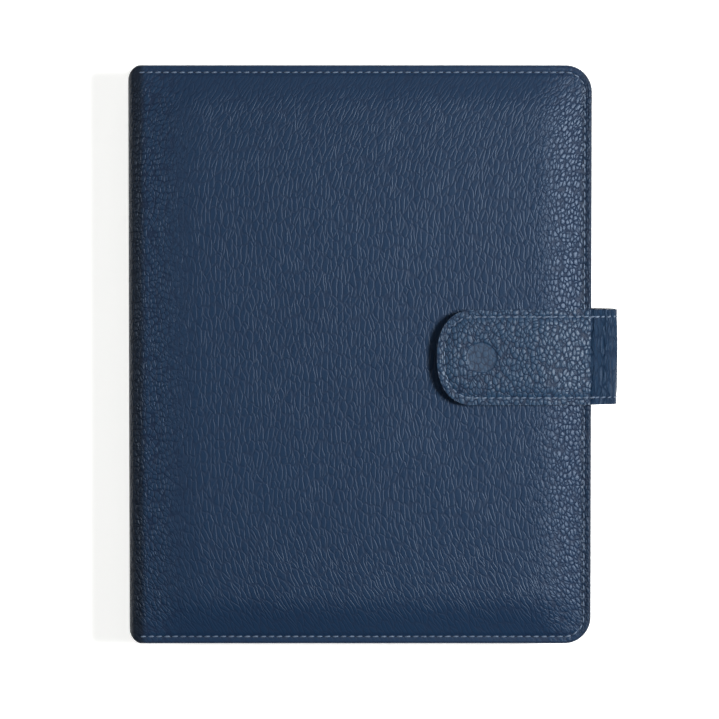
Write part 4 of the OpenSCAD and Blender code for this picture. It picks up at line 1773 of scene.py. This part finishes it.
@dataclass
class Keys:
    """The keycaps, each dished and with a generic legend.

    Attributes:
        corner: Plan radius of a cap's corners.
        slope: How much smaller the face is than the skirt, on each side.
        dish: Depth of the dish.
        rim: Width of the soft rim round the face.
        letter: Size of a legend of one sign.
        word: Size of a longer legend.
        ink: Half the thickness of the ink.
        legends: For each key node, its legends from the left.
    """

    palette: Palette
    corner: float = 1.5 * MM
    slope: float = 0.45 * MM
    dish: float = 0.16 * MM
    rim: float = 0.3 * MM
    letter: float = 4.2 * MM
    word: float = 2.6 * MM
    ink: float = 0.012 * MM
    legends: dict[str, tuple[str, ...]] = field(
        default_factory=lambda: {
            "key_escape": ("esc",),
            "keys_function_row": tuple(f"F{n}" for n in range(1, 13)) + ("del",),
            "keys_number_row": tuple("`1234567890-="),
            "key_backspace": ("back",),
            "key_tab": ("tab",),
            "keys_upper_row": tuple("QWERTYUIOP[]\\"),
            "key_caps_lock": ("caps",),
            "keys_home_row": tuple("ASDFGHJKL;'"),
            "key_enter": ("enter",),
            "key_shift_left": ("shift",),
            "keys_lower_row": tuple("ZXCVBNM,./"),
            "key_shift_right": ("shift",),
            "keys_left_modifiers": ("fn", "ctrl", "alt", "cmd"),
            "key_space": ("",),
            "keys_right_modifiers": ("cmd", "alt"),
            "key_arrow_left": ("<",),
            "key_arrow_down": ("v",),
            "key_arrow_up": ("^",),
            "key_arrow_right": (">",),
        }
    )

    @staticmethod
    def boxes(node: str) -> list[tuple[Vector, Vector]]:
        """The lowest and highest corner of each separate cap in a node, from the left."""
        made = merged_copy(node)
        left, found = set(made.verts), []
        while left:
            island, edge = set(), [left.pop()]
            while edge:
                v = edge.pop()
                island.add(v)
                for e in v.link_edges:
                    other = e.other_vert(v)
                    if other in left:
                        left.discard(other)
                        edge.append(other)
            low = Vector(min(v.co[i] for v in island) for i in range(3))
            high = Vector(max(v.co[i] for v in island) for i in range(3))
            found.append((low, high))
        made.free()
        return sorted(found, key=lambda box: box[0].y)

    def cap(self, made: bmesh.types.BMesh, low: Vector, high: Vector) -> None:
        """Adds one cap to a mesh, between two corners."""
        new = bmesh.ops.create_cube(made, size=1)["verts"]
        size = high - low
        bmesh.ops.scale(made, verts=new, vec=size)
        bmesh.ops.translate(made, verts=new, vec=(low + high) / 2)
        for v in new:
            if v.co.z > (low.z + high.z) / 2:
                v.co.x += math.copysign(self.slope, (low.x + high.x) / 2 - v.co.x)
                v.co.y += math.copysign(self.slope, (low.y + high.y) / 2 - v.co.y)
        uprights = [
            e
            for e in {e for v in new for e in v.link_edges}
            if abs(e.verts[0].co.z - e.verts[1].co.z) > size.z / 2
        ]
        out = bmesh.ops.bevel(
            made, geom=uprights, offset=min(self.corner, size.x / 4), segments=4,
            profile=0.5, affect="EDGES", material=-1,
        )
        top = max(
            {f for f in out["faces"] for e in f.edges for f in e.link_faces},
            key=lambda f: f.calc_center_median().z,
        )
        bmesh.ops.bevel(
            made, geom=list(top.edges), offset=self.rim, segments=2,
            profile=0.5, affect="EDGES", material=-1,
        )
        made.faces.ensure_lookup_table()
        top = max(
            (f for f in made.faces if self.within(f, low, high)),
            key=lambda f: (round(f.calc_center_median().z / (0.01 * MM)), f.calc_area()),
        )
        middle = Matrix.Translation(-(low + high) / 2)
        for share, scale in DISH_STEPS:
            bmesh.ops.inset_region(made, faces=[top], thickness=0.02 * MM)
            rim = list(top.verts)
            bmesh.ops.scale(made, verts=rim, vec=(scale, scale, 1), space=middle)
            bmesh.ops.translate(made, verts=rim, vec=(0, 0, -self.dish * share))

    @staticmethod
    def within(face: bmesh.types.BMFace, low: Vector, high: Vector) -> bool:
        """Whether a face's middle lies between two corners in plan."""
        middle = face.calc_center_median()
        return low.x <= middle.x <= high.x and low.y <= middle.y <= high.y

    def legend(self, made: bmesh.types.BMesh, text: str, low: Vector, high: Vector) -> None:
        """Prints a legend on a cap, to be read from the side away from the spine."""
        curve = bpy.data.curves.new("legend", "FONT")
        curve.body = text
        curve.size = self.letter if len(text) == 1 else self.word
        curve.align_x, curve.align_y = "CENTER", "CENTER"
        curve.extrude = self.ink
        curve.resolution_u = 2
        maker = bpy.data.objects.new("legend", curve)
        mesh = bpy.data.meshes.new_from_object(maker)
        middle = (low + high) / 2
        spot = Vector((middle.x, middle.y, high.z - self.dish))
        mesh.transform(Matrix.Translation(spot) @ Matrix.Rotation(math.pi / 2, 4, "Z"))
        first = len(made.faces)
        made.from_mesh(mesh)
        made.faces.ensure_lookup_table()
        for face in made.faces[first:]:
            face.material_index = 1
        bpy.data.objects.remove(maker)
        bpy.data.curves.remove(curve)

    def build(self) -> None:
        """Builds every key node's caps."""
        for node, legends in self.legends.items():
            made = bmesh.new()
            boxes = self.boxes(node)
            for low, high in boxes:
                self.cap(made, low, high)
            for text, (low, high) in zip(legends, boxes):
                if text:
                    self.legend(made, text, low, high)
            piece = finish_piece(
                f"{node}_caps", made, [self.palette.slots[Slot.KEYCAP], self.palette.legend], 50
            )
            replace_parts(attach(piece, node), node)


@dataclass
class Domes:
    """The rubber sheet under the keys, with a dome under each cap.

    Attributes:
        sheet: Thickness of the sheet.
        foot: Radius of a dome at the sheet.
        crown: Radius of a dome under the cap.
        travel: How far a cap goes down; not used.
    """

    palette: Palette
    sheet: float = 0.3 * MM
    foot: float = 2.6 * MM
    crown: float = 1.6 * MM
    travel: float = 1.2 * MM

    def finished(self, name: str, made: bmesh.types.BMesh) -> bpy.types.Object:
        """Turns rubber geometry into a piece that rides on the back cover.

        Args:
            name: The piece's name.
            made: Its geometry.

        Returns:
            The piece.
        """
        piece = finish_piece(name, made, [self.palette.slots[Slot.DOMES]], 40)
        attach(piece, "back_cover")
        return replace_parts(piece, "rubber_domes")

    def build(self, keys: Keys) -> None:
        """Builds the sheet, and for each key node its domes.

        Args:
            keys: The keys that they lie under.
        """
        low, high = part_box("rubber_domes")
        middle = (low + high) / 2
        base = low.z + self.sheet
        made = bmesh.new()
        bmesh.ops.create_cube(
            made,
            size=1,
            matrix=Matrix.Translation((middle.x, middle.y, low.z + self.sheet / 2))
            @ Matrix.Diagonal((high.x - low.x, high.y - low.y, self.sheet, 1)),
        )
        self.finished("dome_sheet", made)
        tall = high.z - base
        for node in keys.legends:
            made = bmesh.new()
            for cap_low, cap_high in keys.boxes(node):
                at = (cap_low + cap_high) / 2
                bmesh.ops.create_cone(
                    made,
                    cap_ends=True,
                    segments=20,
                    radius1=self.foot,
                    radius2=self.crown,
                    depth=tall,
                    matrix=Matrix.Translation((at.x, at.y, base + tall / 2)),
                )
            piece = self.finished(f"{node}_domes", made)
            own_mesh(piece)


@dataclass
class TrayFelt:
    """The soft sheet that the tablet's back rests on, embossed in channels.

    Attributes:
        channel: Distance from one channel to the next.
        depth: Depth of a channel.
        width: Width of a channel.
        corner: Plan radius of the corners.
        step: Size of the faces.
    """

    palette: Palette
    channel: float = 24 * MM
    depth: float = 0.12 * MM
    width: float = 1.2 * MM
    corner: float = 6.2 * MM
    step: float = 2 * MM

    def build(self) -> None:
        """Makes the felt."""
        low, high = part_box("tray_felt")
        size = high - low
        made = grid_mesh(size.x, size.y, self.step)
        corner, half_x, half_y = self.corner, size.x / 2, size.y / 2
        for v in made.verts:
            x, y = v.co.x - half_x, v.co.y - half_y
            a, b = (abs(x) - half_x + corner) / corner, (abs(y) - half_y + corner) / corner
            if a > 0 and b > 0:
                a, b = round_corner(a, b)
                x = math.copysign(half_x - corner + a * corner, x)
                y = math.copysign(half_y - corner + b * corner, y)
            line = abs((y / self.channel + 0.5) % 1 - 0.5) * self.channel
            groove = self.depth * math.exp(-((line / self.width) ** 2))
            v.co = Vector((low.x + half_x + x, low.y + half_y + y, low.z + groove))
        bmesh.ops.reverse_faces(made, faces=made.faces)
        piece = finish_piece("tray_felt_sheet", made, [self.palette.slots[Slot.LINING]])
        thicken(piece, size.z - self.depth)
        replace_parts(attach(piece, "tray"), "tray_felt")


def dress_nodes(frame: dict, palette: Palette) -> None:
    """Gives every CAD node that stays its own finish.

    Args:
        palette: The materials.
    """
    for row in frame["record"]["subparts"]:
        node = frame["nodes"][row["node"]]
        node.data.materials.clear()
        node.data.materials.append(palette.slots[Slot(row["material_slot"])])


# ---------------------------------------------------------------- studio


@dataclass(frozen=True)
class Softbox:
    """A large soft lamp that faces the case."""

    name: str
    place: tuple[float, float, float]
    size: float
    power: float

    def build(self, target: Vector) -> None:
        """Hangs the lamp and turns it to the target."""
        lamp = bpy.data.lights.new(self.name, "AREA")
        lamp.shape = "DISK"
        lamp.size = self.size
        lamp.energy = self.power
        holder = bpy.data.objects.new(self.name, lamp)
        holder.location = self.place
        away = Vector(self.place) - target
        holder.rotation_euler = away.to_track_quat("Z", "Y").to_euler()
        bpy.context.scene.collection.objects.link(holder)


@dataclass
class Studio:
    """Pale floor, soft lamps and the camera above the closed case.

    Attributes:
        distance: Camera's distance from the cover.
        tilt: How far the camera leans towards the top edge, in degrees.
        frame_width: Width that the picture takes in at the cover.
        aim: Where the picture's middle falls on the cover.
        sensor: Width of the camera's sensor, in millimetres.
        air: Strength of the light that comes from all round.
        floor_size: Half-width of the floor.
        floor_gap: Gap between the case and the floor.
    """

    distance: float = 1.5
    tilt: float = 2.2
    frame_width: float = 0.3207
    aim: tuple[float, float] = (-6.0 * MM, -1.5 * MM)
    sensor: float = 36.0
    air: float = 0.05
    floor_size: float = 6.0
    floor_gap: float = 0.2 * MM
    lamps: tuple[Softbox, ...] = (
        Softbox("key_softbox_right", (0.77, 0.09, 1.09), 0.34, 22.0),
        Softbox("fill_softbox_left", (-0.85, 0.1, 1.1), 0.5, 3.0),
        Softbox("top_softbox", (0.1, 1.1, 1.5), 1.2, 2.0),
    )

    def build(self) -> None:
        """Builds the floor, lamps, backdrop light and camera."""
        low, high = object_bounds()
        target = Vector((self.aim[0], self.aim[1], high.z))
        made = bmesh.new()
        bmesh.ops.create_grid(made, x_segments=1, y_segments=1, size=self.floor_size)
        opal = Grained(
            "opal_acrylic_lit_from_below", "#f2f2f0", "#fafaf8", even(2.0), 0.02 * MM,
            (0.8, 0.9), glow=0.75,
        )
        floor = finish_piece("floor", made, [opal.material()])
        floor.data.transform(Matrix.Translation((0, 0, low.z - self.floor_gap)))
        floor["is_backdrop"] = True
        for lamp in self.lamps:
            lamp.build(target)
        world = bpy.data.worlds.new("studio_air")
        world.use_nodes = True
        air = world.node_tree.nodes["Background"]
        air.inputs["Color"].default_value = linear("#f4f6fa")
        air.inputs["Strength"].default_value = self.air
        bpy.context.scene.world = world
        camera = bpy.data.cameras.new("camera")
        camera.sensor_width = self.sensor
        camera.lens = self.sensor * self.distance / self.frame_width
        camera.clip_end = 50
        holder = bpy.data.objects.new("camera", camera)
        lean = math.radians(self.tilt)
        back = Vector((0, math.sin(lean), math.cos(lean)))
        holder.location = target + back * self.distance
        holder.rotation_euler = (-lean, 0, 0)
        bpy.context.scene.collection.objects.link(holder)
        bpy.context.scene.camera = holder
        bpy.context.scene.view_settings.view_transform = "Standard"


def main() -> None:
    """Builds the case in order."""
    logging.basicConfig(level=logging.INFO, format="%(name)s: %(message)s")
    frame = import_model()
    palette = Palette()
    dress_nodes(frame, palette)
    Covers(palette).build()
    Strap(palette).build()
    for moulding in MOULDINGS:
        moulding.build(palette)
    keys = Keys(palette)
    keys.build()
    Domes(palette).build(keys)
    TrayFelt(palette).build()
    Studio().build()


if __name__ == "__main__":
    main()
